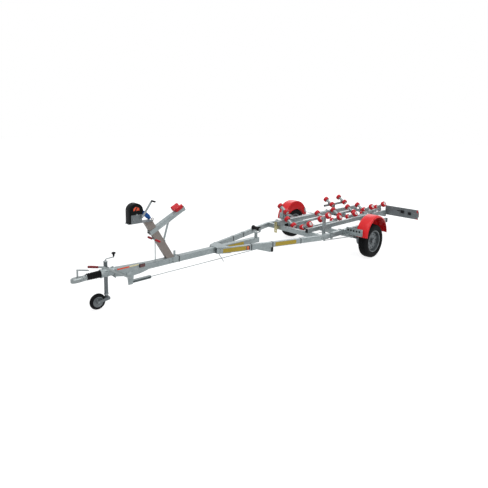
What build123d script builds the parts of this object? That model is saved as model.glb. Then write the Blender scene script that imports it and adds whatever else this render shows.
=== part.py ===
from build123d import *
import os
from math import cos, radians, sin

# Braked single-axle boat trailer with swinging twin rollers.
# X runs forward to the coupling, Y to the left, Z up. The ground is z = 0.
# Lengths are millimetres. Stations are distances ahead of the road wheels' axis.

os.makedirs("parts", exist_ok=True)

# Overall reach
reach_front = 4930
reach_rear = 1600
half_width = 1025
axle_x = (reach_rear - reach_front) / 2

# Fits and gaps
shaft_gap = 0.05
plate_gap = 1.5
seat_gap = 0.2
sheet = 3

# Road wheels
tyre_radius = 295
tyre_width = 175
rim_radius = 178
rim_flange = 12
rim_width = 140
rim_wall = 5
track = 1809
hub_bore = 17
wheel_stud_circle = 112
wheel_stud_count = 5
hand_hole_circle = 240
hand_hole_count = 10
hand_hole_radius = 13
wheel_stud_radius = 11
wheel_stud_length = 14
brake_drum_radius = 118
hub_top_radius = 92

# Lamp board
lamp_depth = 45
board_depth = 25
board_foot_length = 22
board_station = lamp_depth + board_depth - reach_rear
board_inner_y = 335
board_top = 662
board_height = 190

# Frame
beam_height = 80
beam_width = 50
beam_wall = 4
frame_top = 498
frame_low = frame_top - beam_height
side_y = 600
bend_station = 1070
fork_station = 2780
fork_y = 120
side_rear_station = -1050
rail_y = 347
rail_width = 50
rail_height = 70
rail_front_station = 1100
cap_thickness = 8
rail_rear_station = board_station + board_foot_length + cap_thickness
cross_width = 60
cross_height = 60
plate_sheet = 6
bolt_radius = 5

# Coupling and overrun gear
shaft_z = 488
coupling_nose = 62
coupling_neck = 123
bellows_length = 165
housing_length = 180
ball_station = reach_front - coupling_nose
bellows_front_station = ball_station - coupling_neck
housing_front_station = bellows_front_station - bellows_length
housing_radius = 50
bellows_radius = 46
ball_diameter = 50
ball_z = 474
coupling_width = 84

# Drawbar
drawbar_width = 80
drawbar_rear_station = 1920
belly_ahead = 210
belly_length = 250
belly_behind = 50
nose_front_station = housing_front_station - housing_length
belly_front_station = nose_front_station - belly_ahead
belly_rear_station = belly_front_station - belly_length
nose_rear_station = belly_rear_station - belly_behind
nose_depth = 140
nose_front_depth = 100
belly_radius = 700
nose_top = 524

# Jockey wheel
jockey_ahead = 55
jockey_station = nose_front_station + jockey_ahead
jockey_y = -118
jockey_trail = 116
jockey_radius = 100
jockey_width = 60
jockey_tube_radius = 24
jockey_leg_radius = 19
jockey_tube_top = 585
jockey_tube_low = 160
jockey_travel = 150
jockey_leg_hold = 110

# Winch post
post_width = 60
post_wall = 4
post_behind = 231
post_base_length = 118
post_base_front_station = nose_rear_station - post_behind
post_base_rear_station = post_base_front_station - post_base_length
post_top_z = 1045
post_lean = 330

# Twin rollers
roller_radius = 55
roller_width = 65
roller_half_spacing = 87.5
roller_tilt = 30
roller_shaft_radius = 10
roller_shoulder = 14
roller_shoulder_length = 16
hub_tube_radius = 25
hub_tube_half = 50
post_length = 60
saddle_length = 40
rocker_bar_width = 30
rocker_bar_height = 40
pivot_radius = 8
lug_thickness = 6
lug_length = 50
lug_rise = 20
raised_lug_depth = 60

# Keel roller
keel_station = 1960
keel_z = 645
keel_radius = 38
keel_length = 150
keel_shaft_radius = 8
keel_yoke_wall = 6
keel_yoke_rise = 14
keel_yoke_corner = 46
keel_yoke_drop = 66
keel_yoke_length = 40

# Winch
winch_ahead = 239
winch_station = post_base_rear_station + post_lean + winch_ahead
winch_z = 1160
hood_radius = 93
hood_half_width = 62
hood_top = 1298

# Mudguards
guard_radius = 350
guard_centre_z = 408
guard_setback = 10
guard_inner_y = 812
guard_wall = 4

# Suspension
axle_station = 200
axle_z = 360
axle_radius = 38
arm_y = 672
arm_thickness = 30


def ahead(distance):
    """World x of a station measured ahead of the road wheels' axis."""
    return axle_x + distance


pieces = {}


def along_x(rear, front, y, z, width, height, wall):
    """Rectangular tube along X, open at its ends, inside the current part."""
    with BuildSketch(Plane.YZ.offset(ahead(rear))) as section:
        with Locations((y, z)):
            Rectangle(width, height)
            Rectangle(width - 2 * wall, height - 2 * wall, mode=Mode.SUBTRACT)
    extrude(section.sketch, amount=front - rear)


def along_y(station, z, half_length, width, height, wall):
    """Rectangular tube across the trailer, centred on y = 0."""
    with BuildSketch(Plane.XZ) as section:
        with Locations((ahead(station), z)):
            Rectangle(width, height)
            Rectangle(width - 2 * wall, height - 2 * wall, mode=Mode.SUBTRACT)
    extrude(section.sketch, amount=half_length, both=True)


# Side beams: a fork ahead of the bend, straight and parallel behind it
beam_z = frame_top - beam_height / 2
with BuildPart() as side_beams:
    for side in (1, -1):
        with BuildLine() as route:
            Polyline(
                (ahead(fork_station), side * fork_y, beam_z),
                (ahead(bend_station), side * side_y, beam_z),
                (ahead(side_rear_station), side * side_y, beam_z),
            )
        start = route.line @ 0
        heading = route.line % 0
        with BuildSketch(Plane(origin=start, x_dir=heading.cross(Vector(0, 0, 1)), z_dir=heading)):
            Rectangle(beam_width, beam_height)
            Rectangle(beam_width - 2 * beam_wall, beam_height - 2 * beam_wall, mode=Mode.SUBTRACT)
        sweep(path=route.line, transition=Transition.RIGHT)
pieces["side_beams"] = side_beams

# Drawbar: a box tube whose nose deepens into a fish belly
with BuildPart() as drawbar:
    with BuildSketch(Plane.XZ) as side_view:
        with BuildLine():
            top = Polyline(
                (ahead(drawbar_rear_station), frame_low),
                (ahead(drawbar_rear_station), frame_top),
                (ahead(nose_rear_station), frame_top),
                (ahead(nose_front_station), nose_top),
                (ahead(nose_front_station), nose_top - nose_front_depth),
                (ahead(belly_front_station), nose_top - nose_depth),
            )
            RadiusArc(top @ 1, (ahead(belly_rear_station), frame_low), belly_radius, short_sagitta=True)
            Line((ahead(belly_rear_station), frame_low), top @ 0)
        make_face()
    extrude(amount=drawbar_width / 2, both=True)
    with BuildSketch(Plane.XZ):
        add(side_view.sketch)
        offset(amount=-beam_wall, kind=Kind.INTERSECTION, mode=Mode.REPLACE)
    extrude(amount=drawbar_width / 2 - beam_wall, both=True, mode=Mode.SUBTRACT)
pieces["drawbar"] = drawbar

# Crossbeams between the side beams, with pads that carry the main rails
cross_top = frame_top - 20
front_cross_station = 1030
pivot_cross_stations = (460, -800)
tail_cross_width = 36
tail_cross_station = rail_rear_station + tail_cross_width / 2
side_inner = side_y - beam_width / 2
with BuildPart() as crossbeams:
    along_y(front_cross_station, beam_z, side_inner, cross_width, beam_height, beam_wall)
    for station in pivot_cross_stations:
        along_y(station, cross_top - cross_height / 2, side_inner, cross_width, cross_height, beam_wall)
        with Locations((ahead(station), rail_y, cross_top), (ahead(station), -rail_y, cross_top)):
            Box(cross_width, rail_width, frame_top - cross_top,
                align=(Align.CENTER, Align.CENTER, Align.MIN))
    tail_half = rail_y + rail_width / 2
    tail_cross_z = frame_top - cross_height / 2
    along_y(tail_cross_station, tail_cross_z, tail_half, tail_cross_width, cross_height, beam_wall)
pieces["crossbeams"] = crossbeams

# Main rails on top of the crossbeams
rail_z = frame_top + rail_height / 2
with BuildPart() as main_rails:
    for side in (1, -1):
        along_x(rail_rear_station, rail_front_station, side * rail_y, rail_z, rail_width, rail_height, sheet)
pieces["main_rails"] = main_rails


def shaft_plane(station, y, z, side):
    """Plane through a twin's centre whose local Y is the tilted shaft's axis."""
    tilt = side * radians(roller_tilt)
    return Plane(origin=(ahead(station), side * y, z), x_dir=(1, 0, 0), z_dir=(0, -sin(tilt), cos(tilt)))


def add_hub_tube(station, y, z, side):
    """Hub tube and its shaft, on which the two rollers of a twin turn."""
    plane = shaft_plane(station, y, z, side)
    across = Plane(origin=plane.origin, x_dir=plane.x_dir, z_dir=plane.y_dir)
    shaft_half = roller_half_spacing + roller_width / 2 + 4
    for radius, half_length in ((hub_tube_radius, hub_tube_half), (roller_shaft_radius, shaft_half)):
        with BuildSketch(across) as section:
            Circle(radius)
        extrude(section.sketch, amount=half_length, both=True)


def twin_rollers(station, y, z, side):
    """Two barrel rollers on one tilted shaft."""
    plane = shaft_plane(station, y, z, side)
    bore = roller_shaft_radius + shaft_gap
    half = roller_width / 2
    with BuildPart() as twin:
        for offset_y in (roller_half_spacing, -roller_half_spacing):
            with BuildSketch(plane):
                with BuildLine():
                    Polyline(
                        (bore, offset_y - half),
                        (roller_radius - roller_shoulder, offset_y - half),
                        (roller_radius, offset_y - half + roller_shoulder_length),
                        (roller_radius, offset_y + half - roller_shoulder_length),
                        (roller_radius - roller_shoulder, offset_y + half),
                        (bore, offset_y + half),
                        close=True,
                    )
                make_face()
            revolve(axis=Axis(plane.origin, plane.y_dir))
    return twin


# Twins: name, station, y, height, what carries them
twin_places = [
    ("outer_front", 785, 465, 740, "post"),
    ("outer_middle", -630, 450, 720, "outer"),
    ("outer_rear", -1085, 450, 720, "outer"),
    ("inner_front", 910, 180, 555, "front"),
    ("inner_axle", 20, 180, 555, "front"),
    ("inner_middle", -500, 180, 555, "rear"),
    ("inner_rear", -1020, 180, 555, "rear"),
    ("inner_tail", rail_rear_station + 100, 180, 555, "tail"),
]
# Rockers: name, pivot station, y, bar centre height, rear end, front end
rocker_places = [
    ("outer", -800, 450, 655, -1120, -470),
    ("front", 460, 180, 515, -20, 950),
    ("rear", -800, 180, 515, -1060, -460),
]
sides = [("left", 1), ("right", -1)]

for side_name, side in sides:
    for name, station, y, z, carrier in twin_places:
        pieces[f"rollers_{name}_{side_name}"] = twin_rollers(station, y, z, side)

for side_name, side in sides:
    for name, pivot, y, bar_z, rear, front in rocker_places:
        with BuildPart() as rocker:
            along_x(rear, front, side * y, bar_z, rocker_bar_width, rocker_bar_height, sheet)
            with Locations((ahead(pivot), side * y, bar_z)):
                Cylinder(pivot_radius + 6, rocker_bar_width, rotation=(90, 0, 0))
                Cylinder(pivot_radius + shaft_gap, rocker_bar_width, rotation=(90, 0, 0), mode=Mode.SUBTRACT)
            for twin_name, station, twin_y, twin_z, carrier in twin_places:
                if carrier == name:
                    saddle_low = bar_z + rocker_bar_height / 2 - sheet
                    with Locations((ahead(station), side * y, saddle_low)):
                        Box(saddle_length, rocker_bar_width, twin_z - saddle_low,
                            align=(Align.CENTER, Align.CENTER, Align.MIN))
                    add_hub_tube(station, twin_y, twin_z, side)
        pieces[f"rocker_{name}_{side_name}"] = rocker


def add_pivot(station, y, z, foot_z, side):
    """Two lugs and a pin that hold a rocker bar, standing on foot_z."""
    lug_gap = rocker_bar_width / 2 + plate_gap
    for face in (1, -1):
        with Locations((ahead(station), side * y + face * (lug_gap + lug_thickness / 2), foot_z)):
            Box(lug_length, lug_thickness, z + lug_rise - foot_z,
                align=(Align.CENTER, Align.CENTER, Align.MIN))
    with Locations((ahead(station), side * y, z)):
        Cylinder(pivot_radius, 2 * (lug_gap + lug_thickness), rotation=(90, 0, 0))


keel_arm_y = keel_length / 2 + keel_yoke_wall
stay_station = 290
side_outer = side_y + beam_width / 2
stay_tuck = 22
stay_top = guard_centre_z + (guard_radius ** 2 - stay_station ** 2) ** 0.5 - stay_tuck
brace_station = nose_rear_station - 40
brace_z = 792
brace_y = 20
brace_stem_y = 50
brace_radius = 6
bracket_depth = 50
fork_plate_ahead = 60
fork_plate_behind = 120
fork_plate_half = 85
fork_plate_edge = 70
brace_grip_near = 50
brace_grip_far = 150

stay_foot = 42
stay_length = 40
stay_wall = 5
stay_tab_length = 36
stay_tab_height = 50
stay_rod_gap = 4
stay_rod_front = 990
stay_rod_rear = 322
stay_rod_z = 412
clamp_stations = (785, 460, -800)
clamp_width = 60
clamp_plate_reach = 12
wedge_width = 40
wedge_front = 560
wedge_rear = 840
wedge_depth = 74
wedge_foot_thickness = 14
post_lug_station = post_base_rear_station - 35
post_lug_length = 30
post_lug_width = 8
post_lug_height = 78
stick_front_station = 2760
stick_rear_station = 2640
stick_low = 236
fork_origin = Vector(ahead(fork_station), fork_y, beam_z)
fork_run = Vector(bend_station - fork_station, side_y - fork_y, 0).normalized()
fork_out = Vector(0, 0, 1).cross(fork_run) * -1

# Brackets of the frame: fork plates, roller posts and pivots, keel yoke,
# mudguard stays and the hand screw ahead of the winch post
with BuildPart() as frame_brackets:
    with BuildSketch(Plane.XY.offset(frame_top)) as fork_plate:
        with BuildLine():
            Polyline(
                (ahead(fork_station + fork_plate_ahead), -fork_plate_half),
                (ahead(fork_station + fork_plate_ahead), fork_plate_half),
                (ahead(fork_station - fork_plate_behind), fork_y + fork_plate_edge),
                (ahead(fork_station - fork_plate_behind), -fork_y - fork_plate_edge),
                close=True,
            )
        make_face()
    extrude(amount=plate_sheet)
    with BuildSketch(Plane.XY.offset(frame_low)):
        add(fork_plate.sketch)
    extrude(amount=-plate_sheet)
    for side_name, side in sides:
        for name, pivot, y, bar_z, rear, front in rocker_places:
            if name == "outer":
                lug_gap = rocker_bar_width / 2 + plate_gap
                foot_z = bar_z - raised_lug_depth
                with BuildSketch(Plane.XY.offset(cross_top)):
                    with Locations((ahead(pivot), side * y)):
                        Rectangle(lug_length, 2 * (lug_gap + lug_thickness))
                extrude(amount=foot_z - cross_top)
                add_pivot(pivot, y, bar_z, foot_z, side)
            else:
                add_pivot(pivot, y, bar_z, cross_top, side)
        for name, station, y, z, carrier in twin_places:
            if carrier == "post":
                with Locations((ahead(station), side * y, frame_low)):
                    Box(post_length, rocker_bar_width, z - frame_low,
                        align=(Align.CENTER, Align.CENTER, Align.MIN))
                reach = side_inner - y
                with Locations((ahead(station), side * (y + reach / 2), frame_low)):
                    Box(post_length, reach, bracket_depth,
                        align=(Align.CENTER, Align.CENTER, Align.MIN))
                add_hub_tube(station, y, z, side)
            if carrier == "tail":
                bracket_low = frame_top - bracket_depth
                bracket_rear = tail_cross_station + tail_cross_width / 2
                with Locations((ahead(bracket_rear), side * y, bracket_low)):
                    Box(station + saddle_length / 2 - bracket_rear, rocker_bar_width, bracket_depth,
                        align=(Align.MIN, Align.CENTER, Align.MIN))
                with Locations((ahead(station), side * y, bracket_low)):
                    Box(saddle_length, rocker_bar_width, z - bracket_low,
                        align=(Align.CENTER, Align.CENTER, Align.MIN))
                add_hub_tube(station, y, z, side)
    with BuildSketch(Plane.XY.offset(frame_top)) as keel_post:
        with Locations((ahead(keel_station), 0)):
            Rectangle(keel_yoke_length, rocker_bar_width)
    keel_post_top = keel_z - keel_yoke_drop - keel_yoke_wall / 2
    extrude(keel_post.sketch, amount=keel_post_top - frame_top)
    with BuildSketch(Plane.YZ.offset(ahead(keel_station) - keel_yoke_length / 2)) as yoke:
        with BuildLine():
            yoke_outer = keel_arm_y + keel_yoke_wall / 2
            yoke_inner = keel_arm_y - 30
            Polyline(
                (yoke_outer, keel_z + keel_yoke_rise),
                (yoke_outer, keel_z - keel_yoke_corner),
                (yoke_inner, keel_z - keel_yoke_drop),
                (-yoke_inner, keel_z - keel_yoke_drop),
                (-yoke_outer, keel_z - keel_yoke_corner),
                (-yoke_outer, keel_z + keel_yoke_rise),
            )
            offset(amount=keel_yoke_wall / 2, side=Side.BOTH, kind=Kind.INTERSECTION)
        make_face()
    extrude(yoke.sketch, amount=keel_yoke_length)
    with Locations((ahead(keel_station), 0, keel_z)):
        Cylinder(keel_shaft_radius, 2 * keel_arm_y + 20, rotation=(90, 0, 0))
    for side in (1, -1):
        for station in (stay_station, -stay_station):
            with BuildSketch(Plane.YZ.offset(ahead(station) - stay_length / 2)) as stay:
                with BuildLine():
                    Polyline(
                        (side * (side_outer - stay_foot), frame_top),
                        (side * guard_inner_y, frame_top),
                        (side * guard_inner_y, stay_top),
                        (side * (guard_inner_y - stay_wall), stay_top),
                        (side * (guard_inner_y - stay_wall), frame_top + stay_wall),
                        (side * (side_outer - stay_foot), frame_top + stay_wall),
                        close=True,
                    )
                make_face()
            extrude(stay.sketch, amount=stay_length)
    for side in (1, -1):
        with Locations((ahead(stay_rod_front), side * (side_outer + stay_wall / 2), frame_low + stay_wall)):
            Box(stay_tab_length, stay_wall, stay_tab_height)
        with Locations((ahead(stay_rod_rear), side * (guard_inner_y - stay_wall / 2), stay_rod_z)):
            Box(stay_tab_length, stay_wall, stay_tab_height)
        rod_in = stay_wall + stay_rod_gap
        rod_start = Vector(ahead(stay_rod_front), side * (side_outer + rod_in), stay_rod_z)
        rod_end = Vector(ahead(stay_rod_rear), side * (guard_inner_y - rod_in), stay_rod_z)
        with BuildSketch(Plane(origin=rod_start, z_dir=rod_end - rod_start)) as rod_section:
            Circle(bolt_radius)
        extrude(rod_section.sketch, amount=(rod_end - rod_start).length)
        for station in clamp_stations:
            with Locations((ahead(station), side * (side_outer + stay_wall / 2), beam_z)):
                Box(clamp_width, stay_wall, beam_height + 2 * clamp_plate_reach)
            for rod_at in (-clamp_width / 4, clamp_width / 4):
                for level in (frame_top + bolt_radius, frame_low - bolt_radius):
                    with Locations((ahead(station + rod_at), side * (side_outer + 8), level)):
                        Cylinder(bolt_radius, beam_width + 48, rotation=(side * 90, 0, 0),
                                 align=(Align.CENTER, Align.CENTER, Align.MIN))
    with Locations((ahead(post_lug_station), 0, frame_top)):
        Box(post_lug_length, post_lug_width, post_lug_height, align=(Align.MIN, Align.CENTER, Align.MIN))
    stick_start = Vector(ahead(stick_front_station), 0, frame_low - plate_sheet)
    stick_end = Vector(ahead(stick_rear_station), 0, stick_low)
    with BuildSketch(Plane(origin=stick_start, z_dir=stick_end - stick_start)) as stick_section:
        Circle(bolt_radius)
    extrude(stick_section.sketch, amount=(stick_end - stick_start).length)
    with BuildSketch(Plane(origin=fork_origin - Vector(0, 0, beam_height / 2), x_dir=fork_run,
                           z_dir=fork_out)) as wedge:
        with BuildLine():
            Polyline((wedge_front, 0), (wedge_rear, 0), (wedge_rear, -wedge_depth),
                     (wedge_rear - 30, -wedge_depth), close=True)
        make_face()
    extrude(wedge.sketch, amount=wedge_width / 2, both=True)
    with Locations((ahead(brace_station), brace_y, brace_z)):
        Cylinder(brace_radius, 2 * brace_grip_near, rotation=(90, 0, 0))
    with Locations((ahead(brace_station), brace_stem_y, frame_top)):
        Cylinder(brace_radius, brace_z - frame_top, align=(Align.CENTER, Align.CENTER, Align.MIN))
pieces["frame_brackets"] = frame_brackets

# Black end caps on the open tube ends
# columns: station of the cap's rear face, y, z, width, height
cap_places = [
    (side_rear_station - cap_thickness, side_y, beam_z, beam_width, beam_height),
    (side_rear_station - cap_thickness, -side_y, beam_z, beam_width, beam_height),
    (rail_front_station, rail_y, rail_z, rail_width, rail_height),
    (rail_front_station, -rail_y, rail_z, rail_width, rail_height),
    (rail_rear_station - cap_thickness, rail_y, rail_z, rail_width, rail_height),
    (rail_rear_station - cap_thickness, -rail_y, rail_z, rail_width, rail_height),
]
# Distances of the black bands along the fork's left and right beam
left_bands = (480, 852, 1376)
right_bands = (574, 886)
band_width = 12
post_band_station = post_base_rear_station - 77
with BuildPart() as end_caps:
    for station, y, z, width, height in cap_places:
        with Locations((ahead(station), y, z)):
            Box(cap_thickness, width, height, align=(Align.MIN, Align.CENTER, Align.CENTER))
    for side, distances in ((1, left_bands), (-1, right_bands)):
        run = Vector(fork_run.X, side * fork_run.Y, 0)
        for distance in distances:
            origin = Vector(fork_origin.X, side * fork_y, beam_z) + run * distance
            with BuildSketch(Plane(origin=origin, x_dir=run.cross(Vector(0, 0, 1)), z_dir=run)) as band:
                Rectangle(beam_width + 2 * sheet, beam_height + 2 * sheet)
                Rectangle(beam_width + 2 * seat_gap, beam_height + 2 * seat_gap, mode=Mode.SUBTRACT)
            extrude(band.sketch, amount=band_width)
    with BuildSketch(Plane.YZ.offset(ahead(post_band_station))) as post_band:
        with Locations((0, beam_z)):
            Rectangle(drawbar_width + 2 * sheet, beam_height + 2 * sheet)
            Rectangle(drawbar_width + 2 * seat_gap, beam_height + 2 * seat_gap, mode=Mode.SUBTRACT)
    extrude(post_band.sketch, amount=band_width)
    foot_seat = fork_origin - Vector(0, 0, beam_height / 2) + fork_run * wedge_rear
    with BuildSketch(Plane(origin=foot_seat, x_dir=fork_out, z_dir=fork_run)) as foot:
        with Locations((0, wedge_depth / 2)):
            Rectangle(wedge_width + 8, wedge_depth)
    extrude(foot.sketch, amount=wedge_foot_thickness)
pieces["end_caps"] = end_caps

# Bracket that stands on the front crossbeam ahead of the right rail
cross_front = front_cross_station + cross_width / 2
carrier_station = rail_front_station + cap_thickness + 2
carrier_block_width = 50
carrier_block_height = 56
carrier_width = 64
carrier_height = 196
carrier_z = 462
carrier_corner = 12
carrier_hole_radius = 9
with BuildPart() as carrier_plate:
    with Locations((ahead(cross_front), -rail_y, beam_z)):
        Box(carrier_station - cross_front, carrier_block_width, carrier_block_height,
            align=(Align.MIN, Align.CENTER, Align.CENTER))
    with BuildSketch(Plane.YZ.offset(ahead(carrier_station))):
        with Locations((-rail_y, carrier_z)):
            RectangleRounded(carrier_width, carrier_height, carrier_corner)
        with Locations((-rail_y, 535), (-rail_y, 500), (-rail_y, 405)):
            Circle(carrier_hole_radius, mode=Mode.SUBTRACT)
    extrude(amount=plate_sheet)
pieces["carrier_plate"] = carrier_plate

# Keel roller at the drawbar's rear end
keel_waist = 12
keel_end_length = 22
keel_waist_start = 34
with BuildPart() as keel_roller:
    with BuildSketch(Plane.XY.offset(keel_z)):
        with BuildLine():
            half = keel_length / 2
            Polyline(
                (ahead(keel_station) + keel_shaft_radius + shaft_gap, -half),
                (ahead(keel_station) + keel_radius, -half),
                (ahead(keel_station) + keel_radius, -half + keel_end_length),
                (ahead(keel_station) + keel_radius - keel_waist, -half + keel_waist_start),
                (ahead(keel_station) + keel_radius - keel_waist, half - keel_waist_start),
                (ahead(keel_station) + keel_radius, half - keel_end_length),
                (ahead(keel_station) + keel_radius, half),
                (ahead(keel_station) + keel_shaft_radius + shaft_gap, half),
                close=True,
            )
        make_face()
    revolve(axis=Axis((ahead(keel_station), 0, keel_z), (0, 1, 0)))
pieces["keel_roller"] = keel_roller

hanger_length = 264
hanger_holes = 5
hanger_ahead = 90
hanger_pitch = 50
hanger_hole_radius = 13
hanger_thickness = 4
axle_wall = 5
arm_half_width = 32
hanger_foot_length = 120

# Rubber-sprung axle: cross tube, trailing arms, stub shafts and hangers
stub_radius = hub_bore - shaft_gap
drum_inner_y = arm_y + arm_thickness / 2 + 6
wheel_y = track / 2
with BuildPart() as torsion_axle:
    with Locations((ahead(axle_station), 0, axle_z)):
        Cylinder(axle_radius, 2 * (arm_y - arm_thickness / 2), rotation=(90, 0, 0))
        Cylinder(axle_radius - axle_wall, 2 * (arm_y - arm_thickness / 2), rotation=(90, 0, 0),
                 mode=Mode.SUBTRACT)
    for side in (1, -1):
        with BuildSketch(Plane.XZ.offset(-side * arm_y)) as arm:
            with BuildLine():
                Line((ahead(axle_station), axle_z), (ahead(0), tyre_radius))
                offset(amount=arm_half_width, side=Side.BOTH)
            make_face()
        extrude(arm.sketch, amount=arm_thickness / 2, both=True)
        with Locations((ahead(0), side * (arm_y + wheel_y) / 2, tyre_radius)):
            Cylinder(stub_radius, wheel_y - arm_y, rotation=(90, 0, 0))
        with Locations((ahead(axle_station), side * side_y, axle_z)):
            Box(hanger_foot_length, beam_width, frame_low - axle_z,
                align=(Align.CENTER, Align.CENTER, Align.MIN))
        with BuildSketch(Plane.XZ.offset(-side * side_outer)) as hanger:
            with Locations((ahead(axle_station + hanger_ahead), beam_z)):
                Rectangle(hanger_length, beam_height)
                with GridLocations(hanger_pitch, 0, hanger_holes, 1):
                    Circle(hanger_hole_radius, mode=Mode.SUBTRACT)
        extrude(hanger.sketch, amount=-side * hanger_thickness)
pieces["torsion_axle"] = torsion_axle


def road_tyre(side):
    """Tyre: one profile of sidewalls and tread turned about the wheel's axis."""
    half = tyre_width / 2
    bead = rim_width / 2 - 10
    with BuildPart() as tyre:
        with BuildSketch(Plane.XY.offset(tyre_radius)):
            with BuildLine():
                Polyline(
                    (ahead(0) + rim_radius + 0.2, side * wheel_y - bead),
                    (ahead(0) + rim_radius + 16, side * wheel_y - bead),
                    (ahead(0) + rim_radius + 58, side * wheel_y - half),
                    (ahead(0) + tyre_radius - 26, side * wheel_y - half + 6),
                    (ahead(0) + tyre_radius - 4, side * wheel_y - half + 26),
                    (ahead(0) + tyre_radius, side * wheel_y - half + 50),
                    (ahead(0) + tyre_radius, side * wheel_y + half - 50),
                    (ahead(0) + tyre_radius - 4, side * wheel_y + half - 26),
                    (ahead(0) + tyre_radius - 26, side * wheel_y + half - 6),
                    (ahead(0) + rim_radius + 58, side * wheel_y + half),
                    (ahead(0) + rim_radius + 16, side * wheel_y + bead),
                    (ahead(0) + rim_radius + 0.2, side * wheel_y + bead),
                    close=True,
                )
            make_face()
        revolve(axis=Axis((ahead(0), side * wheel_y, tyre_radius), (0, 1, 0)))
    return tyre


def road_rim(side):
    """Steel rim with its disc, hand holes, stud holes and brake drum."""
    inner = rim_radius - rim_wall
    flange_y = rim_width / 2
    disc = 30
    with BuildPart() as rim:
        with BuildSketch(Plane.XY.offset(tyre_radius)):
            with BuildLine():
                Polyline(
                    (ahead(0) + inner, side * (wheel_y - flange_y + 4)),
                    (ahead(0) + rim_radius + rim_flange, side * (wheel_y - flange_y)),
                    (ahead(0) + rim_radius + rim_flange, side * (wheel_y - flange_y + 5)),
                    (ahead(0) + rim_radius, side * (wheel_y - flange_y + 6)),
                    (ahead(0) + rim_radius, side * (wheel_y + flange_y - 6)),
                    (ahead(0) + rim_radius + rim_flange, side * (wheel_y + flange_y - 5)),
                    (ahead(0) + rim_radius + rim_flange, side * (wheel_y + flange_y)),
                    (ahead(0) + inner, side * (wheel_y + flange_y - 4)),
                    (ahead(0) + inner, side * (wheel_y + disc - 14)),
                    (ahead(0) + inner - 30, side * (wheel_y + disc)),
                    (ahead(0) + 70, side * (wheel_y + disc - 8)),
                    (ahead(0) + 40, side * (wheel_y + disc - 8)),
                    (ahead(0) + 36, side * (wheel_y + disc + 24)),
                    (ahead(0), side * (wheel_y + disc + 26)),
                    (ahead(0), side * (wheel_y + 0.1)),
                    (ahead(0) + hub_bore, side * (wheel_y + 0.1)),
                    (ahead(0) + hub_bore, side * drum_inner_y),
                    (ahead(0) + brake_drum_radius, side * drum_inner_y),
                    (ahead(0) + brake_drum_radius, side * (drum_inner_y + 60)),
                    (ahead(0) + hub_top_radius, side * (drum_inner_y + 70)),
                    (ahead(0) + hub_top_radius, side * (wheel_y + disc - 16)),
                    (ahead(0) + inner - 30, side * (wheel_y + disc - 6)),
                    (ahead(0) + inner, side * (wheel_y + disc - 26)),
                    close=True,
                )
            make_face()
        revolve(axis=Axis((ahead(0), 0, tyre_radius), (0, 1, 0)))
        with BuildSketch(Plane(origin=(ahead(0), side * (wheel_y + disc + 20), tyre_radius), x_dir=(1, 0, 0),
                               z_dir=(0, -side, 0))):
            with PolarLocations(hand_hole_circle / 2, hand_hole_count):
                Circle(hand_hole_radius)
        extrude(amount=80, mode=Mode.SUBTRACT)
        with BuildSketch(Plane(origin=(ahead(0), side * (wheel_y + disc - 8), tyre_radius), x_dir=(1, 0, 0),
                               z_dir=(0, side, 0))):
            with PolarLocations(wheel_stud_circle / 2, wheel_stud_count):
                RegularPolygon(wheel_stud_radius, 6)
        extrude(amount=wheel_stud_length)
    return rim


for side_name, side in sides:
    pieces[f"tyre_{side_name}"] = road_tyre(side)
    pieces[f"rim_{side_name}"] = road_rim(side)

# Mudguards: a crowned, lipped section turned over the tyre
# columns of the section: distance from the inner edge, depth below the crown
guard_width = half_width - guard_inner_y
guard_skin = [(2, 9), (22, 2), (guard_width - 34, 2), (guard_width - 10, 9), (guard_width - 2, 34)]


def guard_section(plane, side):
    """Closed section of the mudguard's wall on a plane whose local X is radial."""
    with BuildSketch(plane) as section:
        with BuildLine():
            skin = [(guard_radius - depth, side * (guard_inner_y + along)) for along, depth in guard_skin]
            Polyline(*skin)
            offset(amount=guard_wall / 2, side=Side.BOTH, kind=Kind.INTERSECTION)
        make_face()
    return section.sketch


with BuildPart() as mudguards:
    hinge = (ahead(-guard_setback), 0, guard_centre_z)
    front_plane = Plane(origin=hinge, x_dir=(1, 0, 0), z_dir=(0, 0, 1))
    for side in (1, -1):
        revolve(guard_section(front_plane, side), axis=Axis(hinge, (0, -1, 0)), revolution_arc=180)
pieces["mudguards"] = mudguards

# Lamp board behind the left rail, with its lamp at the outer end
lamp_width = 165
lamp_height = 110
board_foot_width = 40
board_foot_height = 50
board_y = (board_inner_y + half_width) / 2
board_z = board_top - board_height / 2
with BuildPart() as lamp_board:
    with BuildSketch(Plane.YZ.offset(ahead(board_station))):
        with Locations((board_y, board_z)):
            Rectangle(half_width - board_inner_y, board_height)
    extrude(amount=-board_depth)
    with BuildSketch(Plane.YZ.offset(ahead(board_station) - board_depth)):
        with Locations((board_y, board_z)):
            Rectangle(half_width - board_inner_y - 2 * sheet, board_height - 2 * sheet)
    extrude(amount=board_depth - sheet, mode=Mode.SUBTRACT)
    with Locations((ahead(board_station), board_inner_y + board_foot_width / 2, rail_z)):
        Box(board_foot_length, board_foot_width, board_foot_height,
            align=(Align.MIN, Align.CENTER, Align.CENTER))
pieces["lamp_board"] = lamp_board

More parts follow.
